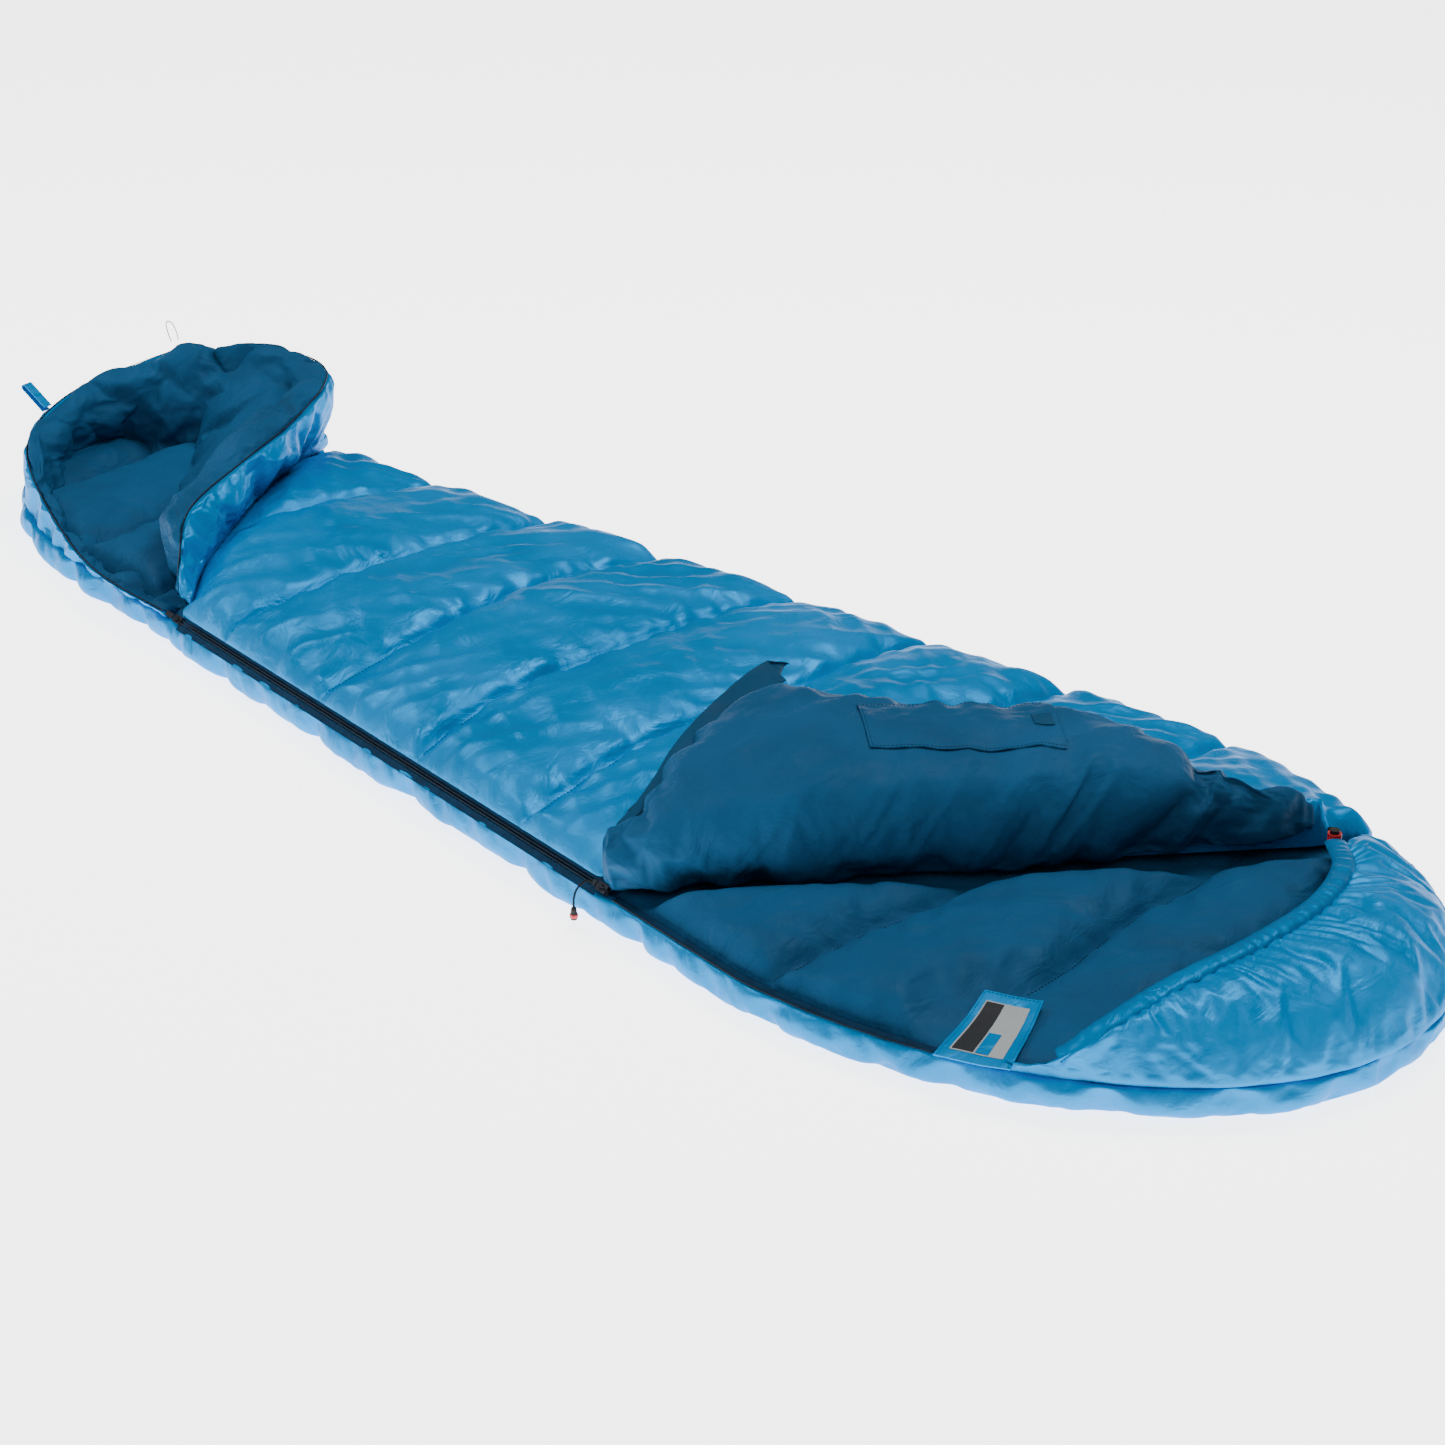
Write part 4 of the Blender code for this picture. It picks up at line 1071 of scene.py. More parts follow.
jaw_steps = np.linspace(0.0, 1.0, 150)
jaw_shell = puffed("foot_wall_shell_pad", jaw_shell_section, jaw_steps, 0.7, (1, 4),
                   rough=(0.0030, 16.0, 51.0), swelling=(3.0, 0.05, 0.008, 0.10))
jaw_lining, spots = loft_pad("foot_wall_lining_pad", jaw_lining_section, jaw_steps, PAD_STEP, model=0.7)
fixed = (spots["k"] <= 0.0) | (spots["k"] >= 5.0)
gathers = np.abs(np.mod(spots["u"] * 9.0, 1.0) - 0.5) < 0.032
roughen(jaw_lining, (~fixed).astype(float), 0.0140, 12.0, 53.0)
inflate(jaw_lining, fixed | (gathers & (spots["k"] < 4.0)), 3.5, 0.12, 0.024, bend=0.08)

# %% [markdown]
# **The hood** is a crescent over the head end: sewn down round the outside, open at its rim, where
# a drawcord runs in a channel. Gathers run back from the channel into the swelling cloth.

# %% The hood
HOOD_NEAR_X, HOOD_FAR_X = 0.745, 0.735      # where the hood's seam starts and ends
HEAD_REACH = HEAD_END - WIDEST_X


def hood_parts(u):
    """The hood's outer seam, its rim, the way out and how full it is there."""
    start = -math.acos((HOOD_NEAR_X - WIDEST_X) / HEAD_REACH)
    turn = start + (math.acos((HOOD_FAR_X - WIDEST_X) / HEAD_REACH) - start) * u
    base = np.array([WIDEST_X + (HEAD_REACH - 0.002) * math.cos(turn),
                     (WIDEST - 0.002) * math.sin(turn), 0.0375])
    rim = HOOD_RIM.at(u)[0]
    return base, rim, level_unit(base - rim), math.sin(math.pi * (0.10 + 0.80 * u)) ** 0.7


def hood_shell_section(u):
    base, rim, out, full = hood_parts(u)
    return section_rows(rim, base, out, [
        (0, 0, -0.004), (0.18, 0, 0.012 * full), (0.45, 0, 0.024 * full), (0.76, 0, 0.026 * full),
        (1, 0.001, 0.010), (1, 0, -0.001), (1, -0.016, 0.002), (0.5, 0, -0.001), (0.12, 0, -0.010)])


def hood_lining_section(u):
    base, rim, out, full = hood_parts(u)
    return section_rows(rim, base, out, [
        (0, 0, -0.006), (0, 0.002, -0.010 - 0.010 * full), (0.3, 0, -0.022 * full),
        (0.6, 0, -0.014 * full), (1, -0.034, 0.004), (1, -0.020, 0.003), (0.5, 0, -0.003),
        (0.12, 0, -0.011)])


hood_steps = np.linspace(0.0, 1.0, 150)
hood_shell, spots = loft_pad("hood_shell_pad", hood_shell_section, hood_steps, 0.0058, model=0.5)
fixed = (spots["k"] <= 0.0) | (spots["k"] >= 5.0)
hood_points = points_of(hood_shell)
hood_folds = 0.0018 * creases(hood_points[:, 0], hood_points[:, 1], 20, 0.15, 0.050, 61.0)
hood_folds += 0.0008 * creases(hood_points[:, 0], hood_points[:, 1], -50, 0.10, 0.035, 63.0)
gathered = np.exp(-np.maximum(spots["k"], 0) / 0.9) * (spots["k"] < 4)
hood_folds += 0.0024 * gathered * np.sin(spots["u"] * 210 + 2.5 * np.sin(spots["u"] * 33))
push_out(hood_shell, hood_folds * ~fixed)
hood_seam = np.abs(spots["k"] - 4.0) < 0.1
inflate(hood_shell, fixed | hood_seam, 4.0, 0.06, 0.014, bend=0.4)
hood_lining, spots = loft_pad("hood_lining_pad", hood_lining_section, hood_steps, 0.0065, model=0.5)
fixed = (spots["k"] <= 0.0) | (spots["k"] >= 4.0)
inflate(hood_lining, fixed, 2.5, 0.05, 0.010)

# %% Run the simulation and refine the cloth
PADS = [top, wall, floor_lining, flap_lining, foot_shell, foot_lining, jaw_shell, jaw_lining,
        hood_shell, hood_lining]
simulate()
for pad in PADS:
    refine(pad)

# %% Join and place the soft pieces
def joined(first, *others):
    """Adds the others' meshes to the first piece."""
    bm = bmesh.new()
    for piece in (first, *others):
        bm.from_mesh(piece.data)
    bm.to_mesh(first.data)
    bm.free()
    for piece in others:
        bpy.data.objects.remove(piece)
    return first


joined(wall, ground)
SHELL_PIECES = [
    (top, ["top_shell", "top_fill", "top_lining"], "bag"), (wall, ["bottom_shell"], "bag"),
    (jaw_shell, ["foot_wall_shell"], "bag"), (hood_shell, ["hood_shell", "hood_fill"], "bag"),
    (flap_shell, ["chest_flap_shell"], None), (foot_shell, ["foot_flap_shell"], None),
]
LINING_PIECES = [
    (floor_lining, ["bottom_lining", "bottom_fill"], "bag"),
    (jaw_lining, ["foot_wall_lining", "foot_wall_fill"], "bag"), (hood_lining, ["hood_lining"], "bag"),
    (flap_lining, ["chest_flap_lining", "chest_flap_fill"], None),
    (foot_lining, ["foot_flap_lining", "foot_flap_fill"], None),
]
for piece, nodes, body in SHELL_PIECES:
    finish_piece(piece, shell_cloth, nodes, body)
for piece, nodes, body in LINING_PIECES:
    finish_piece(piece, lining_cloth, nodes, body)

# Each flap's cloth has its placement written into its points.
for piece in (flap_shell, flap_lining):
    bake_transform(piece)
for piece in (foot_shell, foot_lining):
    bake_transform(piece)

# %% [markdown]
# **The zip** is a chain of moulded coils on woven tape. The tapes are the CAD model's own. The
# coils repeat hundreds of times along a path, so Geometry Nodes place them: one small bead for each
# turn of the coil. The same tree, with a long thin bead, sews the stitches.

# %% A tree that repeats a bead along a path
def bead_tree():
    tree = bpy.data.node_groups.new("beads_along_path", "GeometryNodeTree")
    face = tree.interface
    face.new_socket("Geometry", in_out="INPUT", socket_type="NodeSocketGeometry")
    for name in ("Spacing", "Bead length", "Bead width"):
        face.new_socket(name, in_out="INPUT", socket_type="NodeSocketFloat")
    face.new_socket("Material", in_out="INPUT", socket_type="NodeSocketMaterial")
    face.new_socket("Geometry", in_out="OUTPUT", socket_type="NodeSocketGeometry")
    inlet, outlet = tree.nodes.new("NodeGroupInput"), tree.nodes.new("NodeGroupOutput")
    spots = tree.nodes.new("GeometryNodeCurveToPoints")
    spots.mode = "LENGTH"
    bead = tree.nodes.new("GeometryNodeMeshIcoSphere")
    bead.inputs["Radius"].default_value = 0.5
    bead.inputs["Subdivisions"].default_value = 1
    size = tree.nodes.new("ShaderNodeCombineXYZ")
    place = tree.nodes.new("GeometryNodeInstanceOnPoints")
    real = tree.nodes.new("GeometryNodeRealizeInstances")
    finish = tree.nodes.new("GeometryNodeSetMaterial")
    link = tree.links.new
    link(inlet.outputs["Geometry"], spots.inputs["Curve"])
    link(inlet.outputs["Spacing"], spots.inputs["Length"])
    link(spots.outputs["Points"], place.inputs["Points"])
    link(spots.outputs["Rotation"], place.inputs["Rotation"])
    link(bead.outputs["Mesh"], place.inputs["Instance"])
    link(inlet.outputs["Bead width"], size.inputs["X"])
    link(inlet.outputs["Bead width"], size.inputs["Y"])
    link(inlet.outputs["Bead length"], size.inputs["Z"])
    link(size.outputs["Vector"], place.inputs["Scale"])
    link(place.outputs["Instances"], real.inputs["Geometry"])
    link(real.outputs["Geometry"], finish.inputs["Geometry"])
    link(inlet.outputs["Material"], finish.inputs["Material"])
    link(finish.outputs["Geometry"], outlet.inputs["Geometry"])
    return tree


BEADS = bead_tree()


def curve_through(name, points):
    curve = bpy.data.curves.new(name, "CURVE")
    curve.dimensions = "3D"
    spline = curve.splines.new("POLY")
    spline.points.add(len(points) - 1)
    for place, point in zip(spline.points, points):
        place.co = (*point, 1)
    made = bpy.data.objects.new(name, curve)
    bpy.context.scene.collection.objects.link(made)
    return made


def beads(name, paths, spacing, length, width, material):
    """One mesh of beads along each of the paths."""
    meshes = []
    for points in paths:
        guide = curve_through(name + "_guide", points)
        modifier = guide.modifiers.new("beads", "NODES")
        modifier.node_group = BEADS
        sizes = {"Spacing": spacing, "Bead length": length, "Bead width": width, "Material": material}
        for item in BEADS.interface.items_tree:
            if item.in_out == "INPUT" and item.name in sizes:
                modifier[item.identifier] = sizes[item.name]
        graph = bpy.context.evaluated_depsgraph_get()
        meshes.append(bpy.data.meshes.new_from_object(guide.evaluated_get(graph)))
        bpy.data.objects.remove(guide)
    bm = bmesh.new()
    for mesh in meshes:
        bm.from_mesh(mesh)
    whole = bpy.data.meshes.new(name)
    bm.to_mesh(whole)
    bm.free()
    whole.shade_smooth()
    made = bpy.data.objects.new(name, whole)
    bpy.context.scene.collection.objects.link(made)
    return made


# %% The coils
COIL_SPACING, TURN_LENGTH, TURN_WIDTH = 0.0014, 0.0011, 0.0027


def beside(points, goal, amount):
    """A path moved level towards a goal."""
    points = np.asarray(points, float)
    along = np.gradient(points, axis=0)
    side = np.column_stack([-along[:, 1], along[:, 0], np.zeros(len(points))])
    side /= np.linalg.norm(side, axis=1)[:, None]
    sign = np.sign(np.sum(side * (np.asarray(goal) - points), axis=1))
    return points + side * (sign * amount)[:, None]


def coil(name, path, nodes, body):
    made = beads(name, [path], COIL_SPACING, TURN_LENGTH, TURN_WIDTH, zip_coil)
    finish_piece(made, zip_coil, nodes, body)
    return made


ends = np.linspace(0, 1, 60)[:, None]
closed_line = np.array(FOOT_SLIDER) * (1 - ends) + np.array(CHEST_SLIDER) * ends
for half, sign in (("lower", -1), ("upper", 1)):
    coil(f"coil_{half}", closed_line + np.array(ZIP_ACROSS) * 0.00175 * sign, [f"zip_coil_{half}"], "bag")
chest_x = np.linspace(0.245, 0.680, 90)
chest_line = np.column_stack([chest_x, -half_width(chest_x) + 0.0003, np.full(90, 0.0382)])
coil("coil_chest_lower", chest_line, ["zip_coil_chest_lower"], "bag")
INSIDE_FOOT = (-0.98, 0.0, 0)
low_line = LOW_RIM.at(np.linspace(0.020, 0.98, 190)) + (0, 0, 0.0010)
coil("coil_foot_lower", beside(low_line, INSIDE_FOOT, 0.0012),
     ["zip_coil_foot_lower", "zip_tape_foot_lower"], "bag")
top_line = FLAP_RIM.at(np.linspace(0.03, RIM_END, 160)) + (0, 0, 0.0008)
coil("coil_foot_flap", beside(top_line, INSIDE_FOOT, 0.0012),
     ["zip_coil_foot_flap", "zip_tape_foot_flap"], "foot_flap")

# %% [markdown]
# **Along the chest flap's zip edge** run its half of the zip and, on the lining side, a draft strip:
# a folded band of lining that keeps wind and cloth out of the coil. It stands proud of the flap at
# the corner. Both are ribbons swept along the edge.

# %% The flap's tape, coil and draft strip
def ribbon(name, centre, across, normal, width, thick, rows=6, waves=0.0, seed=0.0):
    """A closed band: centre, across and normal are arrays of points and unit vectors."""
    v = np.linspace(-0.5, 0.5, rows)
    face = centre[:, None] + across[:, None] * (v[:, None] * np.reshape(width, (-1, 1, 1)))
    if waves:
        face = face + normal[:, None] * (noise_at(face, 38.0, seed) * waves)[..., None]
    top, low = face + normal[:, None] * thick / 2, face - normal[:, None] * thick / 2
    rings = np.concatenate([top, low[:, ::-1]], axis=1)
    return closed_piece(name, rings.reshape(-1, 3), ring_faces(*rings.shape[:2]), cut_ends=True)


def flap_edge(a, out, z):
    """A path along the flap's zip edge, moved out from it."""
    edge = on_flap(a, flap_depth(a), z - flap_sink(a))
    along = unit(np.gradient(edge, axis=0))
    side = unit(np.column_stack([along[:, 1], -along[:, 0], np.zeros(len(a))]))
    side *= np.sign(side @ np.array((-FOLD_DIR.x, -FOLD_DIR.y, 0)))[:, None]
    return edge + side * out, side


edge_a = np.linspace(0.035, 0.205, 90)
UPRIGHT = np.tile((0.0, 0.0, 1.0), (90, 1))
FLAP_TAPE_Z = 0.1330
tape_line, tape_side = flap_edge(edge_a, 0.0050, FLAP_TAPE_Z)
flap_tape = ribbon("flap_zip_tape", tape_line, tape_side, UPRIGHT, 0.010, 0.0008)
finish_piece(flap_tape, zip_tape, ["zip_tape_chest_flap"])
flap_coil = beads("coil_chest_flap", [flap_edge(edge_a, 0.0112, FLAP_TAPE_Z)[0]],
                  COIL_SPACING, TURN_LENGTH, TURN_WIDTH, zip_coil)
finish_piece(flap_coil, zip_coil, ["zip_coil_chest_flap"])
STRIP_WIDTH = 0.036
strip_a = np.linspace(0.006, 0.216, 90)
strip_line, strip_side = flap_edge(strip_a, -0.015, 0.1545)
strip_line[:, 2] += 0.006 * smooth((strip_a - 0.15) / 0.06)
strip_width = STRIP_WIDTH * (0.30 + 0.70 * smooth((strip_a - 0.02) / 0.07))
strip_lean = unit(strip_side + UPRIGHT * np.linspace(0.15, 0.45, 90)[:, None])
strip_normal = unit(np.cross(np.gradient(strip_line, axis=0), strip_lean))
strip_normal *= np.sign(strip_normal[:, 2])[:, None]
draft_strip = ribbon("draft_strip_cloth", strip_line, strip_lean, strip_normal, strip_width, 0.0024,
                     rows=9, waves=0.0022, seed=3.0)
refine(draft_strip)
finish_piece(draft_strip, strip_cloth, ["draft_strip"])
for piece in (flap_tape, flap_coil, draft_strip):
    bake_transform(piece)

# %% [markdown]
# **The pocket** on the flap's lining is one patch, sewn on three sides and closed with a small hook
# patch. It is laid on the simulated lining: each point looks straight down for the cloth below.

# %% The inner pocket
def cloth_below(piece):
    """A function that gives the height of a piece's upper surface at plan points."""
    bm = bmesh.new()
    bm.from_mesh(piece.data)
    tree = BVHTree.FromBMesh(bm)
    bm.free()

    def height(x, y):
        hits = [tree.ray_cast(Vector((a, b, 1.0)), Vector((0, 0, -1))) for a, b in zip(x, y)]
        return np.array([h[0].z if h[0] else np.nan for h in hits])
    return height


def laid_patch(name, corners, steps, below, lift, thick, waves, seed):
    """A closed patch between four plan corners, laid on the cloth below it."""
    u, v = np.meshgrid(np.linspace(0, 1, steps[0]), np.linspace(0, 1, steps[1]), indexing="ij")
    a, b, c, d = (np.array(p) for p in corners)
    plan = ((1 - u) * (1 - v))[..., None] * a + (u * (1 - v))[..., None] * b \
        + (u * v)[..., None] * c + ((1 - u) * v)[..., None] * d
    x, y = plan[..., 0].ravel(), plan[..., 1].ravel()
    z = below(x, y)
    z = np.where(np.isnan(z), np.nanmedian(z), z)
    for _ in range(3):
        z = z.reshape(steps)
        z[1:-1] = np.maximum(z[1:-1], (z[:-2] + z[2:]) / 2)
        z[:, 1:-1] = np.maximum(z[:, 1:-1], (z[:, :-2] + z[:, 2:]) / 2)
        z = z.ravel()
    z = z + lift + np.abs(noise_at(np.column_stack([x, y]), 45.0, seed)) * waves
    top = np.column_stack([x, y, z + thick])
    low = np.column_stack([x, y, z])
    number = np.arange(len(x)).reshape(steps)
    quads = np.column_stack([number[:-1, :-1].ravel(), number[1:, :-1].ravel(),
                             number[1:, 1:].ravel(), number[:-1, 1:].ravel()])
    rim = rim_of(quads)
    count = len(x)
    faces = quads.tolist() + (quads[:, ::-1] + count).tolist()
    faces += [(rim[k], rim[k] + count, rim[(k + 1) % len(rim)] + count, rim[(k + 1) % len(rim)])
              for k in range(len(rim))]
    return closed_piece(name, np.vstack([top, low]), [[int(i) for i in f] for f in faces])


lining_height_at = cloth_below(flap_lining)
POCKET = [(0.290, 0.040), (0.500, 0.034), (0.503, 0.140), (0.292, 0.150)]
pocket_corners = [on_flap(a, p, 0)[:2] for a, p in POCKET]
pocket = laid_patch("inner_pocket_cloth", pocket_corners, (54, 28), lining_height_at, 0.0002, 0.0016,
                    0.0030, 5.0)
finish_piece(pocket, lining_cloth, ["inner_pocket"], "chest_flap")
pocket_height_at = cloth_below(pocket)
HOOK = [(0.474, 0.080), (0.496, 0.080), (0.496, 0.102), (0.474, 0.102)]
hook_corners = [on_flap(a, p, 0)[:2] for a, p in HOOK]
hook = laid_patch("pocket_hook_patch", hook_corners, (8, 8), pocket_height_at, 0.0001, 0.0010,
                  0.0003, 8.0)
finish_piece(hook, strip_cloth, ["pocket_hook"], "chest_flap")


# %% [markdown]
# **Stitches** run along the pocket's edge and along the cross seams of the top panel and the bottom
# lining. A row is a line on the plan, dropped on the finished cloth, with a bead for each stitch.
# Where there is no cloth below, or something lies on it, the row stops.

# %% Rows of stitches
QUILT_STITCH, QUILT_THREAD, SEAM_MARGIN = 0.0050, 0.0012, 0.015


def stitched(name, lines, below, body, thread, spacing=0.0042, lift=0.0003, width=0.0007):
    """Rows of stitches along plan lines, laid on the cloth below."""
    paths = []
    for line in lines:
        plan = np.array(line, float)
        steps = np.linspace(0, 1, 120)
        length = np.concatenate([[0], np.cumsum(np.linalg.norm(np.diff(plan, axis=0), axis=1))])
        x, y = (np.interp(steps * length[-1], length, c) for c in plan.T)
        z = below(x, y)
        seen = ~np.isnan(z)
        for run in np.split(np.arange(len(z)), np.flatnonzero(np.diff(seen)) + 1):
            if seen[run[0]] and len(run) > 2:
                paths.append(np.column_stack([x, y, z + lift])[run])
    made = beads(name, paths, spacing, spacing * 0.72, width, thread)
    return finish_piece(made, thread, body=body)


def flap_line(*pairs):
    return [tuple(on_flap(a, p, 0)[:2]) for a, p in pairs]


def quilted(name, seams, wave, below, thread):
    """Stitches along the cross seams of a quilted panel of the bag."""
    lines = []
    for seam in seams:
        reach = float(half_width(seam)) - SEAM_MARGIN
        y = np.linspace(-reach, reach, 140)
        lines.append(np.column_stack([seam + wave(seam, y), y]))
    return stitched(name, lines, below, "bag", thread, spacing=QUILT_STITCH, width=QUILT_THREAD)


bottom_height_at = cloth_below(floor_lining)


def open_lining_height(x, y):
    """The bottom lining's height where nothing lies on it, and no number elsewhere."""
    return np.where(lining_freedom(x, y) > 0.4, bottom_height_at(x, y), np.nan)


quilted("top_stitches", TOP_SEAMS, seam_wave, cloth_below(top), seam_thread)
quilted("lining_stitches", [s for s in LINING_SEAMS if s > 0.1 or s < -0.9], lining_wave,
        open_lining_height, lining_seam_thread)
stitched("pocket_stitches", [flap_line((0.498, 0.037), (0.293, 0.043), (0.295, 0.147), (0.500, 0.137))],
         pocket_height_at, "chest_flap", lining_thread)

# %% [markdown]
# ** The drawcord channel** is a band of shell cloth folded over the hood's rim; its darker blue is painted shade. The cord inside
# gathers it, so its thickness rises and falls every centimetre or so.

# %% The hood's channel
CHANNEL_HALF_WIDTH, CHANNEL_HALF_HEIGHT = 0.0120, 0.0046


def channel_section(u):
    centre = HOOD_RIM.at(u)[0] + (-0.0105, 0, -0.0025)
    ahead, behind = HOOD_RIM.at(min(u + 0.01, 1))[0], HOOD_RIM.at(max(u - 0.01, 0))[0]
    along = unit(ahead - behind)
    side = unit(np.cross(along, UP))
    up = np.cross(side, along)
    gather = 1 + 0.10 * math.sin(190 * u + 4 * math.sin(27 * u))
    gather += 0.20 * noise.noise(Vector((60 * u, 0, 0)))
    angles = np.radians([0, 60, 120, 180, 240, 300])
    wide, high = side * CHANNEL_HALF_WIDTH, up * CHANNEL_HALF_HEIGHT * gather
    return [centre + wide * math.cos(t) + high * math.sin(t) for t in angles]


channel, _ = loft_pad("hood_channel", channel_section, np.linspace(0, 1, 330), 0.0030, model=0.5)
finish_piece(channel, shaded_channel_cloth, ["hood_tunnel"], "bag")

# %% [markdown]
# **The label tab** is a cloth tab sewn in at the top of the zip, with a woven label. The label keeps
# only its layout of plain blocks. The tab lies on the lining and can be lifted.

# %% The label tab
TAB_ORIGIN = np.array((0.690, -0.352))
TAB_X, TAB_Y = np.array((0.92848, 0.37139)), np.array((-0.37139, 0.92848))
TAB_LOW, TAB_THICK = 0.0416, 0.0012
TAB_WIDE, TAB_LONG = 0.078, 0.125


def on_tab(along, inward):
    """A plan point on the tab, which narrows a little towards its free end."""
    along = 0.039 + (along - 0.039) * (1 - 0.22 * inward / 0.128)
    return TAB_ORIGIN + TAB_X * along + TAB_Y * inward


def tab_patch(name, low, high, lift, thick, waves, steps, seed=12.0):
    corners = [on_tab(low[0], low[1]), on_tab(high[0], low[1]),
               on_tab(high[0], high[1]), on_tab(low[0], high[1])]

    def resting(x, y):
        along = (np.column_stack([x, y]) - TAB_ORIGIN) @ TAB_Y
        across = (np.column_stack([x, y]) - TAB_ORIGIN) @ TAB_X
        curl = 0.0060 * smooth((along - 0.085) / 0.05) + 0.0025 * smooth((across - 0.05) / 0.03)
        return TAB_LOW + curl + 0.0007 * np.sin(70 * along)
    return laid_patch(name, corners, steps, resting, lift, thick, waves, seed)


tab = tab_patch("label_tab_cloth", (0.0, 0.003), (TAB_WIDE, TAB_LONG + 0.003), 0.0, TAB_THICK,
                0.0006, (30, 46))
finish_piece(tab, shell_cloth, ["label_tab"], "label_tab")
LABEL_THREADS = 700.0


def label_weave(name, dark, light):
    weave = Finish(name, 0.55, Specular_IOR_Level=0.2)
    colour = weave.ramp(weave.bands(LABEL_THREADS, "X"), (0.2, dark), (0.8, light))
    return weave.feed(Base_Color=colour,
                      Normal=weave.bump(weave.bands(LABEL_THREADS, "Y"), 0.3, 0.0002))


pale_label = label_weave("label_weave", (0.30, 0.33, 0.34), (0.42, 0.45, 0.46))
dark_label = label_weave("label_dark_weave", (0.010, 0.011, 0.013), (0.022, 0.024, 0.028))
BLOCKS = [("label_patch_woven", (0.010, 0.018), (0.066, 0.112), 0.0003, pale_label),
          ("label_block_dark", (0.012, 0.020), (0.034, 0.110), 0.0008, dark_label),
          ("label_block_blue", (0.036, 0.020), (0.050, 0.062), 0.0008, shell_cloth)]
for name, low, high, lift, material in BLOCKS:
    block = tab_patch(name, low, high, TAB_THICK + lift - 0.0003, 0.0005, 0.0006, (20, 30))
    stands_for = ["label_patch"] if name == "label_patch_woven" else ()
    finish_piece(block, material, stands_for, "label_tab")
tab_height_at = cloth_below(tab)
tab_lines = [[on_tab(0.003, 0.006), on_tab(0.003, 0.125), on_tab(0.075, 0.125), on_tab(0.075, 0.006)]]
stitched("tab_stitches", tab_lines, tab_height_at, "label_tab", shell_thread)

# %% [markdown]
# **The ribbon loop** at the foot hangs the bag up to dry. It is a folded band of shell cloth.

# %% The ribbon loop
LOOP_ROOT = np.array((-1.258, -0.060, 0.128))
LOOP_OUT = unit(np.array((-0.80, -0.16, 0.58)))
LOOP_ACROSS = unit(np.array((0.20, -0.98, 0)))
LOOP_RISE = np.cross(LOOP_OUT, LOOP_ACROSS)
LOOP_GAP, LOOP_LENGTH, LOOP_WIDTH = 0.0042, 0.048, 0.014


def loop_line(steps):
    """The middle of the folded ribbon: out, round the end and back."""
    straight = LOOP_LENGTH - LOOP_GAP
    s = np.linspace(0, 2 * straight + math.pi * LOOP_GAP, steps)
    bend = np.clip((s - straight) / LOOP_GAP, 0, math.pi)
    out = np.where(s < straight, s, straight + LOOP_GAP * np.sin(bend))
    out = np.where(bend >= math.pi, 2 * straight + math.pi * LOOP_GAP - s, out)
    return LOOP_ROOT + LOOP_OUT * out[:, None] + LOOP_RISE * (LOOP_GAP * np.cos(bend))[:, None], s[-1]


loop_points, loop_length = loop_line(70)
loop_across = np.tile(LOOP_ACROSS, (70, 1))
loop_normal = unit(np.cross(loop_across, np.gradient(loop_points, axis=0)))
ribbon_loop = ribbon("ribbon_loop_cloth", loop_points, loop_across, loop_normal, LOOP_WIDTH, 0.0011,
                     waves=0.0004, seed=9.0)
finish_piece(ribbon_loop, shell_cloth, ["ribbon_loop"], "hanging_loop")

# %% [markdown]
# **The cords.** The chest slider has a short pull cord with a moulded grip. A thin elastic loop
# stands at the foot. The drawcord stays as the CAD model has it, in a braided finish.

# %% The pull cord, its grip and the elastic loop
PULL_THICK, ELASTIC_THICK = 0.0022, 0.0014


def cord_piece(name, points, radius, samples, material, nodes, body):
    made = curve_through(name, through(points, samples))
    made.data.bevel_depth = radius
    made.data.bevel_resolution = 3
    made.data.use_fill_caps = True
    made.data.materials.append(material)
    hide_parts(*nodes)
    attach(made, body)
    line = through(points, samples)
    return made, float(np.sum(np.linalg.norm(np.diff(line, axis=0), axis=1)))


def turned_grip(name, centre, profile, sides=28):
    """A solid of revolution about an upright axis, from (radius, height) pairs."""
    rings = []
    for radius, height in profile:
        turn = np.linspace(0, 2 * math.pi, sides, endpoint=False)
        rings.append(np.column_stack([centre[0] + radius * np.cos(turn), centre[1] + radius * np.sin(turn),
                                      np.full(sides, centre[2] + height)]))
    return closed_piece(name, np.vstack(rings), ring_faces(len(rings), sides))


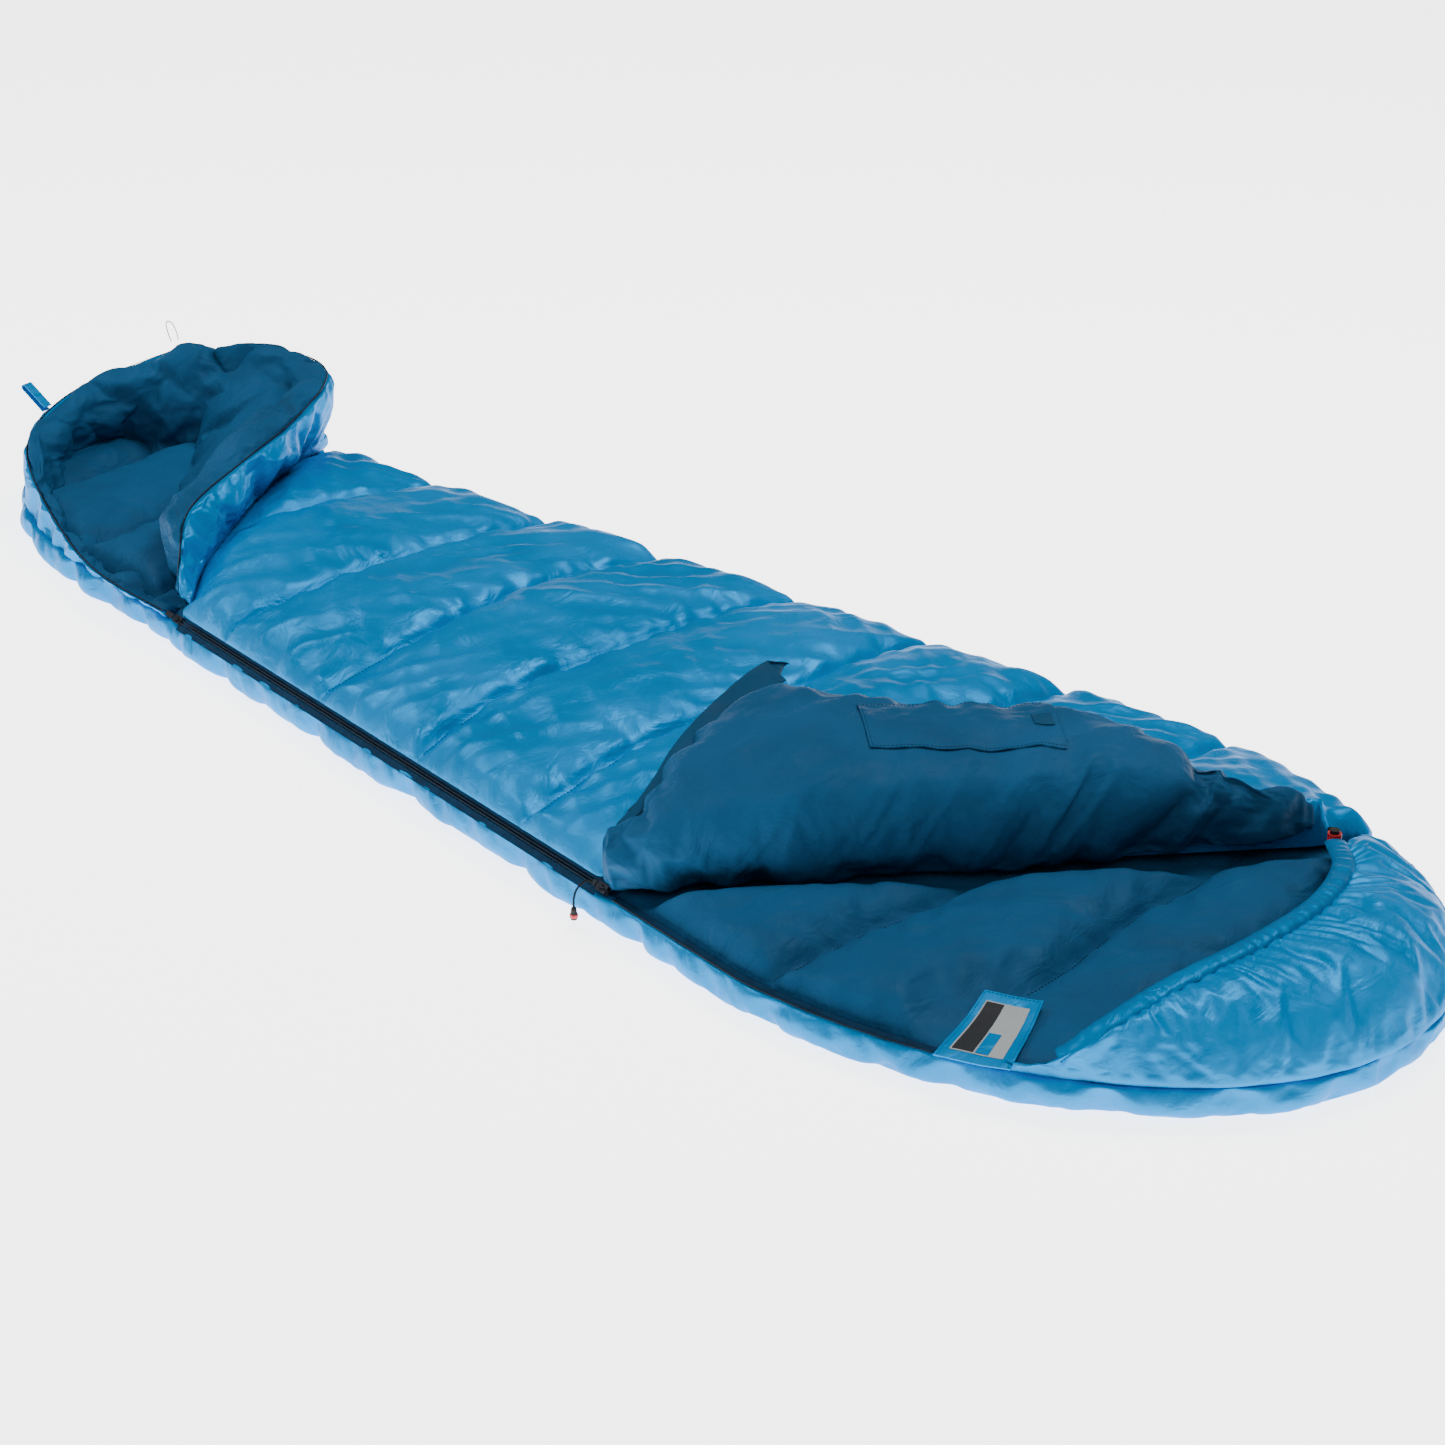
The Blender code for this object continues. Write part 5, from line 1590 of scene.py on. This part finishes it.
pull_start = CHEST_SLIDER + ZIP_DIR * (0.006 - 0.0155) + ZIP_OUT * 0.0043
PULL_ROUTE = [(0, 0, 0), (-0.004, -0.006, 0.001), (-0.007, -0.0150, -0.006),
              (-0.008, -0.0190, -0.016), (-0.007, -0.0205, -0.026)]
pull_points = [tuple(pull_start + Vector(p)) for p in PULL_ROUTE]
pull_cord, pull_length = cord_piece("pull_cord", pull_points, PULL_THICK / 2, 24, black_cord,
                                    ["chest_pull_cord"], "chest_pull")
grip_top = np.array(pull_points[-1])      # the grip hangs from the cord's end
GRIP = [(0.0016, 0.0002), (0.0028, -0.0010), (0.0032, -0.0040), (0.0034, -0.0062), (0.0042, -0.0080),
        (0.0043, -0.0120), (0.0036, -0.0142), (0.0020, -0.0152)]
grip = turned_grip("pull_grip", grip_top, GRIP)
finish_piece(grip, black_plastic, ["chest_pull_end"], "chest_pull")
RING = [(0.0043, -0.0078), (0.0047, -0.0088), (0.0047, -0.0108), (0.0043, -0.0118)]
grip_ring = turned_grip("pull_grip_ring", grip_top, RING)
finish_piece(grip_ring, red_plastic, (), "chest_pull")
ELASTIC_ROUTE = [(0, 0, 0), (-0.006, 0.000, 0.010), (-0.016, 0.004, 0.021), (-0.019, 0.010, 0.024),
                 (-0.014, 0.014, 0.020), (-0.004, 0.013, 0.009), (0.000, 0.012, 0.000)]
elastic_points = [tuple(Vector((-1.218, 0.130, 0.192)) + Vector(p)) for p in ELASTIC_ROUTE]
elastic, elastic_length = cord_piece("elastic_cord_loop", elastic_points, ELASTIC_THICK / 2, 40,
                                     black_cord, ["elastic_loop"], "bag")
print("pull cord", round(pull_length, 4), "m, elastic loop", round(elastic_length, 4), "m")

# %% [markdown]
# The remaining CAD nodes have the right shape already: tapes, sliders, pullers, toggle, drawcord.
# They keep their meshes and get their finishes.

# %% Finishes for the CAD nodes
CAD_FINISHES = {
    "zip_tape": zip_tape, "chest_slider": slider_metal, "foot_slider": slider_metal,
    "chest_puller": slider_metal, "foot_puller": slider_metal, "drawcord": black_cord,
    "toggle_barrel": red_plastic, "toggle_button": black_plastic,
}
for name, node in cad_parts.items():
    if node.hide_render:
        continue
    material = next((m for start, m in CAD_FINISHES.items() if name.startswith(start)), None)
    if material is None:
        print("no finish chosen for", name)
        continue
    node.data.materials.clear()
    node.data.materials.append(material)
